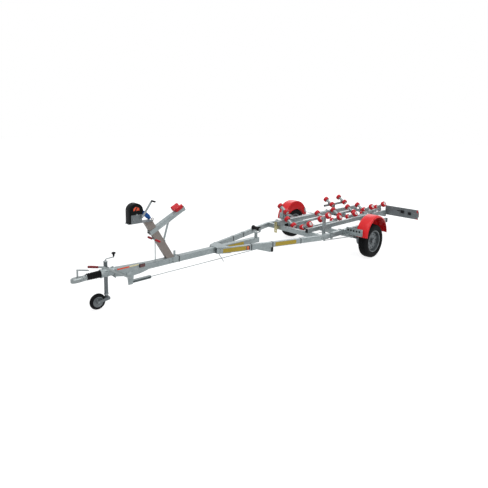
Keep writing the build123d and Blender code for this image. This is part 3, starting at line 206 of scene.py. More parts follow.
finishes = {
    "galvanised": zincFinish("galvanisedZinc", {
        "cells": 95, "clouds": 5.5, "dark": (0.20, 0.235, 0.24), "light": (0.38, 0.425, 0.43),
        "pale": (0.56, 0.60, 0.60), "bloom": 0.45, "rough": 0.36, "metal": 0.45}),
    "darkZinc": zincFinish("weatheredZinc", {
        "cells": 70, "clouds": 4.0, "dark": (0.10, 0.115, 0.122), "light": (0.19, 0.21, 0.22),
        "pale": (0.30, 0.31, 0.32), "bloom": 0.3, "rough": 0.42, "metal": 0.4}),
    "plated": steelFinish("zincPlate", {
        "smear": 12, "dark": (0.17, 0.195, 0.20), "light": (0.37, 0.40, 0.40), "worn": (0.18, 0.175, 0.165),
        "spots": 0.25, "rough": 0.26, "metal": 0.6}),
    "yellowZinc": steelFinish("passivatedZinc", {
        "smear": 16, "dark": (0.34, 0.30, 0.14), "light": (0.58, 0.53, 0.30), "worn": (0.3, 0.26, 0.15),
        "spots": 0.5, "rough": 0.3, "metal": 0.75}),
    "postGrey": steelFinish("postGrey", {
        "smear": 5, "dark": (0.17, 0.145, 0.13), "light": (0.27, 0.235, 0.215), "worn": (0.16, 0.13, 0.11),
        "spots": 0.25, "rough": 0.42, "metal": 0.35}),
    "oliveCap": steelFinish("oliveCap", {
        "smear": 9, "dark": (0.05, 0.045, 0.018), "light": (0.13, 0.115, 0.05), "worn": (0.03, 0.025, 0.02),
        "spots": 0.5, "rough": 0.6, "metal": 0.0}),
    "rustBrown": steelFinish("rustBrown", {
        "smear": 14, "dark": (0.06, 0.032, 0.018), "light": (0.14, 0.08, 0.045), "worn": (0.03, 0.02, 0.015),
        "spots": 0.6, "rough": 0.6, "metal": 0.2}),
    "rimSilver": steelFinish("rimSilver", {
        "smear": 7, "dark": (0.07, 0.08, 0.086), "light": (0.20, 0.22, 0.23), "worn": (0.2, 0.18, 0.16),
        "spots": 0.3, "rough": 0.34, "metal": 0.55}),
    "guardRed": plasticFinish("mudguardRed", {
        "dark": (0.58, 0.006, 0.010), "light": (0.72, 0.010, 0.014), "dust": 0.03, "grain": 300,
        "depth": 0.0002, "rough": 0.32, "coat": 0.12}),
    "rollerRed": plasticFinish("rollerRed", {
        "dark": (0.42, 0.006, 0.013), "light": (0.57, 0.009, 0.018), "dust": 0.03, "grain": 500,
        "depth": 0.0003, "rough": 0.40, "coat": 0.05}),
    "gripRed": plasticFinish("gripRed", {
        "dark": (0.30, 0.008, 0.014), "light": (0.42, 0.012, 0.020), "dust": 0.04, "grain": 700,
        "depth": 0.0004, "rough": 0.42, "coat": 0.0}),
    "gripDark": plasticFinish("gripDark", {
        "dark": (0.13, 0.006, 0.010), "light": (0.21, 0.010, 0.015), "dust": 0.04, "grain": 700,
        "depth": 0.0004, "rough": 0.45, "coat": 0.0}),
    "bushWhite": plasticFinish("bushWhite", {
        "dark": (0.70, 0.69, 0.66), "light": (0.84, 0.83, 0.80), "dust": 0.12, "grain": 400, "depth": 0.0002,
        "rough": 0.4, "coat": 0.0}),
    "lampRed": plasticFinish("lampRed", {
        "dark": (0.42, 0.006, 0.010), "light": (0.60, 0.012, 0.016), "dust": 0.01, "grain": 90,
        "depth": 0.0006, "rough": 0.14, "coat": 0.8}),
    "lampOrange": plasticFinish("lampOrange", {
        "dark": (0.70, 0.11, 0.015), "light": (0.86, 0.17, 0.03), "dust": 0.01, "grain": 90, "depth": 0.0006,
        "rough": 0.16, "coat": 0.8}),
    "blackPlastic": plasticFinish("blackPlastic", {
        "dark": (0.006, 0.006, 0.007), "light": (0.014, 0.014, 0.016), "dust": 0.02, "grain": 900,
        "depth": 0.0004, "rough": 0.42, "coat": 0.0, "shine": 0.12}),
    "glossBlack": plasticFinish("hoodBlack", {
        "dark": (0.003, 0.0035, 0.004), "light": (0.008, 0.009, 0.010), "dust": 0.01, "grain": 200,
        "depth": 0.0001, "rough": 0.34, "coat": 0.0, "shine": 0.06}),
    "strapBlue": webbingFinish("strapBlue", {"dark": (0.006, 0.07, 0.30), "light": (0.015, 0.14, 0.46),
                                             "rough": 0.7}),
    # painted shade: near-black colour for the discs that stand for the shade inside the angles' holes
    "paintedHoleShade": plasticFinish("paintedHoleShade", {
        "dark": (0.010, 0.010, 0.011), "light": (0.018, 0.018, 0.019), "dust": 0.05, "grain": 200,
        "depth": 0.0001, "rough": 0.8, "coat": 0.0}),
    "labelYellow": plasticFinish("labelYellow", {
        "dark": (0.37, 0.255, 0.012), "light": (0.46, 0.33, 0.030), "dust": 0.03, "grain": 60, "depth": 0.0001,
        "rough": 0.36, "coat": 0.3}),
    "labelPale": plasticFinish("labelPale", {
        "dark": (0.78, 0.66, 0.30), "light": (0.88, 0.80, 0.50), "dust": 0.04, "grain": 60, "depth": 0.0001,
        "rough": 0.36, "coat": 0.3}),
    "lampDark": plasticFinish("lampDark", {
        "dark": (0.06, 0.004, 0.005), "light": (0.13, 0.006, 0.008), "dust": 0.01, "grain": 90,
        "depth": 0.0004, "rough": 0.14, "coat": 0.8}),
    "labelOrange": plasticFinish("labelOrange", {
        "dark": (0.70, 0.05, 0.02), "light": (0.80, 0.11, 0.03), "dust": 0.03, "grain": 60, "depth": 0.0001,
        "rough": 0.36, "coat": 0.3}),
    "tyreBlack": rubberFinish("tyreBlack", {
        "colour": (0.006, 0.0065, 0.007), "worn": (0.04, 0.039, 0.037), "scuff": 0.25, "grain": 350,
        "rough": 0.66}),
    "softBlack": rubberFinish("softBlack", {
        "colour": (0.007, 0.007, 0.008), "worn": (0.05, 0.048, 0.045), "scuff": 0.2, "grain": 500,
        "rough": 0.5}),
}
print("finishes made:", len(finishes))

# what each CAD node that stays is finished with
nodeFinishes = {
    "galvanised": ["side_beams", "drawbar", "crossbeams", "main_rails", "frame_brackets", "torsion_axle",
                   "brake_linkage", "snubber_arm", "overrun_housing"],
    "plated": ["jockey_crank", "handbrake_lever", "winch_crank", "winch_drum", "coupling"],
    "postGrey": ["winch_post"],
    "rustBrown": ["strap_hook"],
    "yellowZinc": ["carrier_plate"],
    "darkZinc": ["lamp_board", "jockey_tube", "jockey_leg", "jockey_fork", "winch_frame"],
    "rimSilver": ["rim_left", "rim_right"],
    "guardRed": ["mudguards"],
    "rollerRed": ["bow_snubber"],
    "gripRed": ["red_grips"],
    "lampRed": ["lamps"],
    "blackPlastic": ["end_caps", "winch_hood"],
    "softBlack": ["bellows", "keel_roller", "jockey_wheel"],
    "tyreBlack": ["tyre_left", "tyre_right"],
}
nodeFinishes["galvanised"] += [name for name in nodes if name.startswith("rocker_")]
nodeFinishes["rollerRed"] += [name for name in nodes if name.startswith("rollers_")]
for finish, names in nodeFinishes.items():
    for name in names:
        nodes[name].data.materials.clear()
        nodes[name].data.materials.append(finishes[finish])
print("CAD nodes finished")


def gather(parts):
    # joins several (points, faces) pairs into one
    points, faces, start = [], [], 0
    for part, quads in parts:
        points.append(np.asarray(part, float))
        faces += [tuple(int(i) + start for i in quad) for quad in quads]
        start += len(part)
    return np.concatenate(points), faces


def addPiece(name, parts, finish, body, smooth=35, bevel=0.0, replaced=()):
    # joins closed (points, faces) parts into one mesh that rides on a body; edges under smooth
    # degrees are shaded round, and replaced names the CAD nodes that the piece stands for
    points, faces = gather(parts)
    mesh = bpy.data.meshes.new(name)
    mesh.from_pydata(points.tolist(), [], faces)
    work = bmesh.new()
    work.from_mesh(mesh)
    bmesh.ops.recalc_face_normals(work, faces=work.faces)
    work.to_mesh(mesh)
    work.free()
    mesh.materials.append(finishes[finish])
    mesh.polygons.foreach_set("use_smooth", [True] * len(mesh.polygons))
    mesh.set_sharp_from_angle(angle=math.radians(smooth))
    mesh.update()
    piece = bpy.data.objects.new(name, mesh)
    bpy.context.scene.collection.objects.link(piece)
    if bevel:
        edge = piece.modifiers.new("edge", "BEVEL")
        edge.width = bevel
        edge.segments = 2
        edge.limit_method = "ANGLE"
        edge.angle_limit = math.radians(40)
    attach(piece, body)
    if replaced:
        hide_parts(*replaced)
    return piece


def unit(vector):
    # the vector at length 1
    vector = np.asarray(vector, float)
    return vector / np.linalg.norm(vector)


def rowUnits(rows):
    # each row at length 1
    return rows / np.linalg.norm(rows, axis=1)[:, None]


def gridFaces(rows, columns, closeRows=False, closeColumns=False):
    # quads between neighbours of a rows x columns grid of points, wrapping round where asked
    r = np.arange(rows if closeRows else rows - 1)[:, None]
    c = np.arange(columns if closeColumns else columns - 1)[None, :]
    r2, c2 = (r + 1) % rows, (c + 1) % columns
    quads = np.stack([r * columns + c, r * columns + c2, r2 * columns + c2, r2 * columns + c], -1)
    return quads.reshape(-1, 4)


def tubeFaces(rings, count):
    # quads between closed rings of count points, with a face over each end
    ends = [tuple(range(count)), tuple(range((rings - 1) * count, rings * count))]
    return gridFaces(rings, count, False, True).tolist() + ends


def frameOf(axis):
    # the axis at length 1 and two unit vectors square to it
    axis = unit(axis)
    side = unit(np.cross(axis, (0, 0, 1) if abs(axis[2]) < 0.9 else (1, 0, 0)))
    return axis, side, np.cross(axis, side)


def ringOf(axis, steps):
    # unit points round the axis: side*cos + up*sin
    axis, side, up = frameOf(axis)
    turn = np.linspace(0, 2 * np.pi, steps, endpoint=False)[:, None]
    return side * np.cos(turn) + up * np.sin(turn)


def circle(radius, steps=12):
    # flat ring of (across, up) points
    turn = np.linspace(0, 2 * np.pi, steps, endpoint=False)
    return radius * np.stack([np.cos(turn), np.sin(turn)], 1)


def halfRound(radius, steps, past=0.0):
    # flat arc of (across, up) points over the top, going past the level by an angle at both ends
    turn = np.linspace(-past, np.pi + past, steps)
    return radius * np.stack([np.cos(turn), np.sin(turn)], 1)


def lathe(profile, origin, axis, steps=48):
    # turns closed profile points (radius, distance along the axis) about the axis: origin + axis*h + r*ring
    radius, height = np.asarray(profile, float).T
    ring, place = ringOf(axis, steps), np.asarray(origin, float)
    points = place + ring[:, None, :] * radius[None, :, None] + unit(axis) * height[None, :, None]
    return points.reshape(-1, 3), gridFaces(steps, len(radius), True, True)


def rod(start, end, radius, steps=16):
    # round bar between two points
    start, end = np.asarray(start, float), np.asarray(end, float)
    length = np.linalg.norm(end - start)
    return lathe([(0.0002, 0), (radius, 0), (radius, length), (0.0002, length)], start, end - start, steps)


def sweep(path, section):
    # carries closed (across, up) section points along a path, each ring square to the path's local direction
    path, section = np.asarray(path, float), np.asarray(section, float)
    run = rowUnits(np.gradient(path, axis=0))
    side = rowUnits(np.cross(run, (0, 0, 1.0) if np.abs(run[:, 2]).max() < 0.95 else (0, 1.0, 0)))
    up = np.cross(side, run)
    points = path[:, None] + side[:, None] * section[None, :, :1] + up[:, None] * section[None, :, 1:]
    return points.reshape(-1, 3), tubeFaces(len(path), len(section))


def smoothLine(points, count=8):
    # Catmull-Rom: each span is a cubic whose ends lean along the line through the neighbouring points
    p = np.asarray(points, float)
    p = np.concatenate([[2 * p[0] - p[1]], p, [2 * p[-1] - p[-2]]])
    t = np.linspace(0, 1, count, endpoint=False)[:, None, None]
    a, b, c, d = p[None, :-3], p[None, 1:-2], p[None, 2:-1], p[None, 3:]
    square, cube = 2 * a - 5 * b + 4 * c - d, 3 * b - a - 3 * c + d
    spans = 0.5 * (2 * b + (c - a) * t + square * t ** 2 + cube * t ** 3)
    return np.concatenate([spans.transpose(1, 0, 2).reshape(-1, p.shape[1]), p[-2:-1]])


def push(corners, move):
    # flat ring of corners joined to the same ring moved away
    corners = np.asarray(corners, float)
    return np.concatenate([corners, corners + np.asarray(move, float)]), tubeFaces(2, len(corners))


def prism(outline, origin, across, up, depth):
    # flat outline of (across, up) points pushed along across x up by depth
    outline, across, up = (np.asarray(v, float) for v in (outline, across, up))
    return push(np.asarray(origin, float) + outline[:, :1] * across + outline[:, 1:] * up,
                np.cross(across, up) * depth)


def box(low, high):
    # box between two opposite corners
    (x0, y0, z0), (x1, y1, z1) = low, high
    return push([(x0, y0, z0), (x1, y0, z0), (x1, y1, z0), (x0, y1, z0)], (0, 0, z1 - z0))


def hexHeads(places, size=0.010, height=0.007):
    # a washer, a six-sided head and a thread end for each (place,
    # outward axis); each is a ring pushed along the axis
    heads = []
    for place, axis in places:
        axis = unit(axis)
        for radius, low, high, steps in ((size * 1.25, 0, 0.002, 20), (size, 0.002, height, 6),
                                         (size * 0.45, height, height + 0.005, 12)):
            heads.append(push(place + axis * low + ringOf(axis, steps) * radius, axis * (high - low)))
    return gather(heads)


rollerLook = {
    "tilt": 30, "spacing": 0.0875, "halfWidth": 0.0325, "radius": 0.055, "endRadius": 0.041, "bore": 0.0101,
    "edge": 0.016, "bushRadius": 0.029, "steps": 56,
    # station, distance from the middle, height
    "twins": {
        "outer_front": (0.785, 0.465, 0.740), "outer_middle": (-0.630, 0.450, 0.720),
        "outer_rear": (-1.085, 0.450, 0.720), "inner_front": (0.910, 0.180, 0.555),
        "inner_axle": (0.020, 0.180, 0.555), "inner_middle": (-0.500, 0.180, 0.555),
        "inner_rear": (-1.020, 0.180, 0.555), "inner_tail": (-1.400, 0.180, 0.555)},
}


def rollerProfile(look):
    # barrel: flat middle, elliptical shoulders, dished ends and a
    # bore; shoulder radius = end + drop*sqrt(1 - t^2)
    t = np.linspace(1, 0, 8)
    drop = look["radius"] - look["endRadius"]
    shoulder = look["endRadius"] + drop * np.sqrt(1 - t ** 2)
    reach = look["halfWidth"] - look["edge"] + t * look["edge"]
    seam = [(look["radius"] + 0.0004, -0.0006), (look["radius"] + 0.0004, 0.0006)]
    left = [(look["bore"], -look["halfWidth"] + 0.006),
            (look["bushRadius"] + 0.003, -look["halfWidth"] + 0.005),
            (look["bushRadius"] + 0.006, -look["halfWidth"] + 0.0005)] + list(zip(shoulder, -reach))
    right = list(zip(shoulder[::-1], reach[::-1])) + [(r, -h) for r, h in left[:3][::-1]]
    return left + [(look["radius"], -0.0015)] + seam + [(look["radius"], 0.0015)] + right


def addRollers(look):
    # two barrels on one tilted shaft, each with a pale bush in both ends
    profile = rollerProfile(look)
    half = look["halfWidth"]
    bush = [(look["bore"], half - 0.006), (look["bore"], half - 0.0015),
            (look["bushRadius"] - 0.004, half - 0.001),
            (look["bushRadius"], half - 0.002), (look["bushRadius"] + 0.0025, half - 0.0055)]
    for name, (station, y, z) in look["twins"].items():
        for sideName, side in sides.items():
            tilt = math.radians(look["tilt"]) * side
            axis = np.array((0, math.cos(tilt), math.sin(tilt)))
            centre = np.array((ahead(station), side * y, z))
            body = f"twin_{name}_{sideName}"
            skins, bushes = [], []
            for way in (1, -1):
                middle = centre + axis * look["spacing"] * way
                skins.append(lathe(profile, middle, axis, look["steps"]))
                bushes.append(lathe(bush, middle, axis, 32))
                bushes.append(lathe(bush, middle, -axis, 32))
            addPiece(f"skin_{name}_{sideName}", skins, "rollerRed", body, 30,
                     replaced=[f"rollers_{name}_{sideName}"])
            addPiece(f"bushes_{name}_{sideName}", bushes, "bushWhite", body, 30)


addRollers(rollerLook)
print("rollers turned")


tyreLook = {
    "radius": 0.295, "width": 0.175, "bead": 0.1785, "beadHalf": 0.058, "track": 1.809, "turns": 288,
    "grooveDepth": 0.0065, "grooveWidth": 0.0055, "ribs": (-0.036, -0.0125, 0.0125, 0.036), "lugs": 72,
    "lugGap": 0.16, "lugSlant": 26, "shoulder": 0.030, "sipeWidth": 0.55, "sipeDepth": 0.7,
    "crownSteps": 57, "crownDrop": 0.0052, "wallRings": (0.235, 0.262),
}


def tyreOutline(look):
    # half section from bead to crown as (radius, offset), with a bulged sidewall and a soft shoulder
    half, top, bead, beadHalf = look["width"] / 2, look["radius"], look["bead"], look["beadHalf"]
    return np.array([
        (bead, beadHalf), (bead + 0.006, beadHalf + 0.003), (bead + 0.016, beadHalf + 0.008),
        (bead + 0.030, half - 0.010), (bead + 0.045, half - 0.003), (bead + 0.058, half - 0.0006),
        (bead + 0.070, half - 0.002), (top - 0.032, half - 0.007), (top - 0.020, half - 0.013),
        (top - 0.011, half - 0.020), (top - 0.0055, half - 0.028)])


def addTyre(look, sideName, side):
    # section points times turn steps; the tread is lowered by the groove depth where a groove or a sipe runs
    wall = tyreOutline(look)
    crown = np.linspace(wall[-1, 1] - 0.002, -wall[-1, 1] + 0.002, look["crownSteps"])
    flat = look["radius"] - look["crownDrop"] * (np.abs(crown) / crown.max()) ** 2.5
    radius = np.concatenate([wall[:, 0], flat, wall[::-1, 0], [look["bead"] - 0.0004] * 2])
    offset = np.concatenate([wall[:, 1], crown, -wall[::-1, 1], [-0.03, 0.03]])
    turn = np.linspace(0, 2 * np.pi, look["turns"], endpoint=False)
    count = len(wall)
    isTread = np.zeros(len(radius))
    isTread[count:count + len(crown)] = 1
    ring = np.min(np.abs(offset[:, None] - np.array(look["ribs"])[None, :]), axis=1)
    groove = (ring < look["grooveWidth"] / 2).astype(float)[None, :]
    phase = turn[:, None] / (2 * np.pi) * look["lugs"] + np.abs(offset)[None, :] * look["lugSlant"]
    phase = (phase + (offset[None, :] > 0) * 0.5) % 1
    outer = (np.abs(offset) > look["shoulder"])[None, :]
    sipe = ((phase < look["lugGap"]) & outer) | ((phase < look["lugGap"] * look["sipeWidth"]) & ~outer)
    depth = np.maximum(groove, sipe * look["sipeDepth"]) * isTread[None, :] * look["grooveDepth"]
    r = radius[None, :] - depth
    centre = np.array((ahead(0), side * look["track"] / 2, look["radius"]))
    ringX, ringZ = r * np.cos(turn)[:, None], r * np.sin(turn)[:, None]
    points = centre + np.stack([ringX, np.broadcast_to(offset, r.shape), ringZ], -1)
    skin = points.reshape(-1, 3), gridFaces(len(turn), len(radius), True, True)
    addPiece(f"treadSkin_{sideName}", [skin], "tyreBlack", f"wheel_{sideName}", 38,
             replaced=[f"tyre_{sideName}"])
    # raised rings on the sidewalls
    rings = []
    for level in look["wallRings"]:
        width = np.interp(level, wall[:, 0], wall[:, 1])
        for way in (1, -1):
            ridge = [(level - 0.0012, way * (width - 0.001)), (level, way * (width + 0.0007)),
                     (level + 0.0012, way * (width - 0.001)), (level, way * (width - 0.003))]
            rings.append(lathe(ridge, centre, (0, 1, 0), 96))
    addPiece(f"wallRings_{sideName}", rings, "tyreBlack", f"wheel_{sideName}")


for sideName, side in sides.items():
    addTyre(tyreLook, sideName, side)
print("tyres moulded")


guardLook = {
    "radius": 0.350, "centre": (-0.010, 0.408), "inner": 0.812, "wall": 0.0036, "bead": 0.0022,
    "beadWidth": 0.010, "steps": 112, "crownDrop": 0.0025,
    "cheekRadius": 0.180, "cheekRise": 0.070, "cheekWall": 0.0034, "cheekGap": 0.012,
    "cheekPlace": (0.0040, -0.0006),
    # distance from the inner edge, depth below the crown
    "skin": [(0.0022, 0.016), (0.004, 0.008), (0.012, 0.0028), (0.03, 0.0016), (0.08, 0.0004), (0.13, 0.0004),
             (0.165, 0.002), (0.188, 0.0055), (0.202, 0.013), (0.2095, 0.024), (0.2108, 0.033)],
}


def guardShell(look, side):
    # the crowned skin is swept over half a turn: x = c + r*cos(a),
    # z = c + r*sin(a); a bead swells it near each end
    skin = smoothLine(look["skin"], 4)
    lean = rowUnits(np.gradient(skin, axis=0))
    inward = np.stack([-lean[:, 1], lean[:, 0]], 1) * look["wall"]
    loop = np.concatenate([skin, (skin + inward)[::-1]])
    turn = np.linspace(0, np.pi, look["steps"] + 1)
    fromEnd = np.minimum(turn, np.pi - turn) * look["radius"]
    bead = look["bead"] * np.exp(-((fromEnd - look["beadWidth"]) / (look["beadWidth"] / 2.2)) ** 2)
    r = look["radius"] - look["crownDrop"] - loop[None, :, 1] + bead[:, None]
    x = ahead(look["centre"][0]) + r * np.cos(turn)[:, None]
    z = look["centre"][1] + r * np.sin(turn)[:, None]
    y = np.broadcast_to(side * (look["inner"] + loop[:, 0]), r.shape)
    faces = gridFaces(len(turn), len(loop), False, True).tolist()
    half, count = len(skin), len(loop)
    for start in (0, (len(turn) - 1) * count):
        faces += [(start + i, start + i + 1, start + count - 2 - i, start + count - 1 - i)
                  for i in range(half - 1)]
    return np.stack([x, y, z], -1).reshape(-1, 3), faces


def guardCheek(look, side):
    # flat inner wall under the skin: half a ring whose inner edge is r = cheek + rise*|cos|^3
    turn = np.linspace(0, np.pi, 73)
    inner = look["cheekRadius"] + look["cheekRise"] * np.abs(np.cos(turn)) ** 3
    outer = np.full(len(turn), look["radius"] - look["cheekGap"])
    outline = np.concatenate([np.stack([outer * np.cos(turn), outer * np.sin(turn)], 1),
                              np.stack([inner * np.cos(turn), inner * np.sin(turn)], 1)[::-1]])
    edge = side * look["inner"] + look["cheekPlace"][0 if side > 0 else 1]
    place = (ahead(look["centre"][0]), edge, look["centre"][1])
    return prism(outline, place, (1, 0, 0), (0, 0, 1), look["cheekWall"])


addPiece("guardShells", [guardShell(guardLook, side) for side in (1, -1)], "guardRed", "trailer", 50,
         replaced=["mudguards"])
addPiece("guardCheeks", [guardCheek(guardLook, side) for side in (1, -1)], "guardRed", "trailer", 30)


# drilled angle in front of each mudguard, bolted to the beam and to the guard
angleLook = {
    "face": 0.345, "sheet": 0.004, "foot": 0.033, "from": 0.627, "to": 0.945, "low": 0.428, "high": 0.545,
    "holes": (0.665, 0.720, 0.775, 0.830, 0.885), "holeZ": 0.497, "holeRadius": 0.0185,
    "holeDepth": (0.0042, 0.0050),
    "bolts": (0.84, 0.92), "boltZ": 0.455, "pin": (0.332, 0.346), "pinRadius": 0.006,
    "guardBolts": (0.29, 0.8125, 0.555), "head": 0.009, "headHeight": 0.006,
    # station and distance from the middle of both ends of each stay rod
    "stayEnds": ((0.990, 0.634), (0.322, 0.803)), "stayZ": 0.412, "stayRadius": 0.0075,
}


def addAngles(look):
    # two thin plates make each angle; its holes are not cut but shown as dark discs of painted shade on the
    # face
    plate, holes, bolts, stays = [], [], [], []
    face, sheet, bend = look["face"], look["sheet"], look["low"] + look["sheet"]
    for side in (1, -1):
        inner, outer = side * look["from"], side * look["to"]
        plate.append(box((ahead(face), inner, bend), (ahead(face + sheet), outer, look["high"])))
        plate.append(box((ahead(face), inner, look["low"]), (ahead(face + look["foot"]), outer, bend)))
        # painted shade: each hole is a thin dark disc just in front of the plate, not an opening
        for y in look["holes"]:
            holes.append(rod(*[(ahead(face + depth), side * y, look["holeZ"]) for depth in look["holeDepth"]],
                             look["holeRadius"], 28))
        for y in look["bolts"]:
            bolts.append(((ahead(face + sheet), side * y, look["boltZ"]), (1, 0, 0)))
            pin = [(ahead(station), side * y, look["boltZ"]) for station in look["pin"]]
            plate.append(rod(*pin, look["pinRadius"]))
        station, y, z = look["guardBolts"]
        bolts += [((ahead(way * station), side * y, z), (0, -side, 0)) for way in (1, -1)]
        stay = [(ahead(station), side * y, look["stayZ"]) for station, y in look["stayEnds"]]
        stays.append(rod(*stay, look["stayRadius"]))
    addPiece("stayRods", stays, "plated", "trailer")
    addPiece("guardAngles", plate, "galvanised", "trailer", bevel=0.001)
    addPiece("angleHoleShade", holes, "paintedHoleShade", "trailer")
    addPiece("guardBolts", [hexHeads(bolts, look["head"], look["headHeight"])], "plated", "trailer")


addAngles(angleLook)
print("mudguards and their stays made")


# the arm starts at a (station, height) and runs along a unit direction
snubberLook = {
    "from": (3.905, 0.880), "run": (-0.8914, 0.4532), "near": 0.455, "far": 0.570, "edge": 0.007,
    # across, above the arm's middle
    "section": [(-0.060, 0.029), (0.060, 0.029), (0.0685, 0.060), (0.072, 0.080), (0.064, 0.089),
                (0.052, 0.092), (0.040, 0.084), (0.018, 0.054), (0, 0.045), (-0.018, 0.054), (-0.040, 0.084),
                (-0.052, 0.092), (-0.064, 0.089), (-0.072, 0.080), (-0.0685, 0.060)],
}


def alongArm(look, distance):
    # point, direction and upward normal at a distance along the snubber's arm
    run = np.array((look["run"][0], 0, look["run"][1]))
    start = np.array((ahead(look["from"][0]), 0, look["from"][1]))
    return start + run * distance, run, np.array((run[2], 0, -run[0]))


def addSnubber(look):
    # notched rubber block across the arm: its section pushed back along the arm
    start, _, up = alongArm(look, look["far"])
    block = prism(look["section"], start, (0, 1, 0), up, look["far"] - look["near"])
    addPiece("snubberBlock", [block], "rollerRed", "trailer", 40, bevel=look["edge"], replaced=["bow_snubber"])


keelLook = {
    "station": 1.960, "z": 0.645, "radius": 0.038, "waist": 0.026, "length": 0.150, "bore": 0.0082,
    "nutY": 0.0885,
}


def addKeelRoller(look):
    # waisted roller: r = waist + rise*(1 - cos)/2 towards both ends, with rounded lips
    t = np.linspace(-1, 1, 49)
    flare = np.clip(np.abs(t) * 1.25 - 0.1, 0, 1)
    lip = np.clip((np.abs(t) - 0.93) / 0.07, 0, 1)
    rise = look["radius"] - look["waist"]
    r = look["waist"] + rise * (0.5 - 0.5 * np.cos(np.pi * flare)) - 0.004 * lip ** 2
    half = look["length"] / 2
    face = [(look["bore"], half - 0.004), (0.016, half - 0.004), (0.019, half - 0.001), (0.029, half - 0.0002)]
    outline = [(a, -b) for a, b in face] + list(zip(r, t * half)) + face[::-1]
    centre = (ahead(look["station"]), 0, look["z"])
    addPiece("keelSkin", [lathe(outline, centre, (0, 1, 0), 48)], "softBlack", "keel_roller_body", 45,
             replaced=["keel_roller"])
    nuts = [((centre[0], way * look["nutY"], centre[2]), (0, way, 0)) for way in (1, -1)]
    addPiece("keelNuts", [hexHeads(nuts, 0.009, 0.007)], "plated", "trailer")


addSnubber(snubberLook)
addKeelRoller(keelLook)


bellowsLook = {
    "z": 0.488, "pleats": 8, "from": 4.580, "to": 4.745, "radius": 0.046, "pleatDepth": 0.008, "taper": 0.004,
    "bore": 0.030, "cuff": 0.006, "endRadius": 0.037,
}


def addBellows(look):
    # radius swings between crest and root as a cosine with
    # flattened roots: r = big - depth*(1 - wave^0.8) - taper*t
    t = np.linspace(0, 1, look["pleats"] * 14 + 1)
    wave = 0.5 + 0.5 * np.cos(2 * np.pi * look["pleats"] * (t + 0.5 / look["pleats"]))
    r = look["radius"] - look["pleatDepth"] * (1 - wave ** 0.8) - look["taper"] * t
    x = look["from"] + (look["to"] - look["from"]) * t
    bore, cuff, end = look["bore"], look["radius"] - 0.001, look["endRadius"]
    outline = [(bore, x[0]), (cuff, x[0]), (cuff, x[0] + look["cuff"])] + list(zip(r[4:-3], x[4:-3]))
    outline += [(end, x[-1] - 0.004), (end, x[-1]), (bore, x[-1])]
    skin = lathe(outline, (ahead(0), 0, look["z"]), (1, 0, 0), 56)
    addPiece("bellowsSkin", [skin], "softBlack", "trailer", 60, replaced=["bellows"])


addBellows(bellowsLook)


couplingLook = {
    "z": 0.488, "rings": (4.486, 4.565), "nipples": (4.44, 4.54), "nippleRise": 0.0495,
    # (station, distance from the middle, height over the shaft) of
    # the bolts through the head, then of the flange's
    "headBolts": ((4.79, 0.0335, -0.004), (4.822, 0.0385, -0.010)),
    "flangeBolts": ((4.408, 0.036, 0.026), (4.408, 0.036, -0.058)),
    "rib": ((4.408, -0.003, 0.045), (4.43, 0.003, 0.062)),
    # radius, distance along the axis
    "collar": [(0.027, 4.7462), (0.0345, 4.7462), (0.0355, 4.749), (0.0355, 4.756), (0.034, 4.759),
               (0.027, 4.759)],
    "nipple": [(0.0002, 0), (0.004, 0), (0.004, 0.007), (0.0026, 0.009), (0.0034, 0.012), (0.002, 0.015),
               (0.0002, 0.015)],
    "ring": [(0.0495, 0), (0.054, 0.001), (0.0545, 0.004), (0.0545, 0.010), (0.054, 0.013), (0.0495, 0.014)],
}


def addCouplingTrim(look):
    # turned collar, grease nipples and raised rings, a rib, and the bolts that show
    z = look["z"]
    through = [((ahead(x), way * y, z + rise), (0, way, 0)) for x, y, rise in look["headBolts"]
               for way in (1, -1)]
    flange = [((ahead(x), way * y, z + rise), (1, 0, 0)) for way in (1, -1)
              for x, y, rise in look["flangeBolts"]]
    collars = [lathe(look["collar"], (ahead(0), 0, z), (1, 0, 0), 40)]
    nipples = [lathe(look["nipple"], (ahead(x), 0, z + look["nippleRise"]), (0, 0, 1), 16)
               for x in look["nipples"]]
    rings = [lathe(look["ring"], (ahead(x), 0, z), (1, 0, 0), 56) for x in look["rings"]]
    ribs = [box(*[(ahead(x), y, z + rise) for x, y, rise in look["rib"]])]
    addPiece("couplingCollar", collars + nipples, "plated", "trailer")
    addPiece("housingRings", rings + ribs, "galvanised", "trailer")
    addPiece("noseBolts", [hexHeads(through, 0.0105, 0.007), hexHeads(flange, 0.008, 0.006)],
             "plated", "trailer")


addCouplingTrim(couplingLook)


jockeyLook = {
    "station": 4.455, "y": -0.118, "top": 0.585, "reach": 0.110, "armRadius": 0.0065, "knobRadius": 0.026,
    "clampZ": 0.488, "collarZ": 0.162, "handleRadius": 0.0055,
    # back from the tube, above its top
    "arm": [(0, -0.004), (0, 0.018), (0.010, 0.031), (0.03, 0.034), (0.08, 0.036), (0.110, 0.037)],
    # ahead of the tube, beside it, above the clamp's middle
    "handle": [(-0.012, -0.042, 0), (0.022, -0.042, 0), (0.030, -0.043, -0.006), (0.033, -0.045, -0.020),
               (0.034, -0.048, -0.062)],
    "lug": ((-0.010, -0.050, -0.014), (0.010, -0.028, 0.014)),
    # radius, distance along the axis
    "cap": [(0.0002, 0), (0.0275, 0), (0.0275, 0.006), (0.012, 0.010), (0.009, 0.016), (0.0002, 0.016)],
    "shell": [(0.0242, -0.024), (0.031, -0.024), (0.032, -0.021), (0.032, 0.021), (0.031, 0.024),
              (0.0242, 0.024)],
    "collar": [(0.0242, 0), (0.0275, 0.001), (0.0275, 0.016), (0.0242, 0.017)],
}


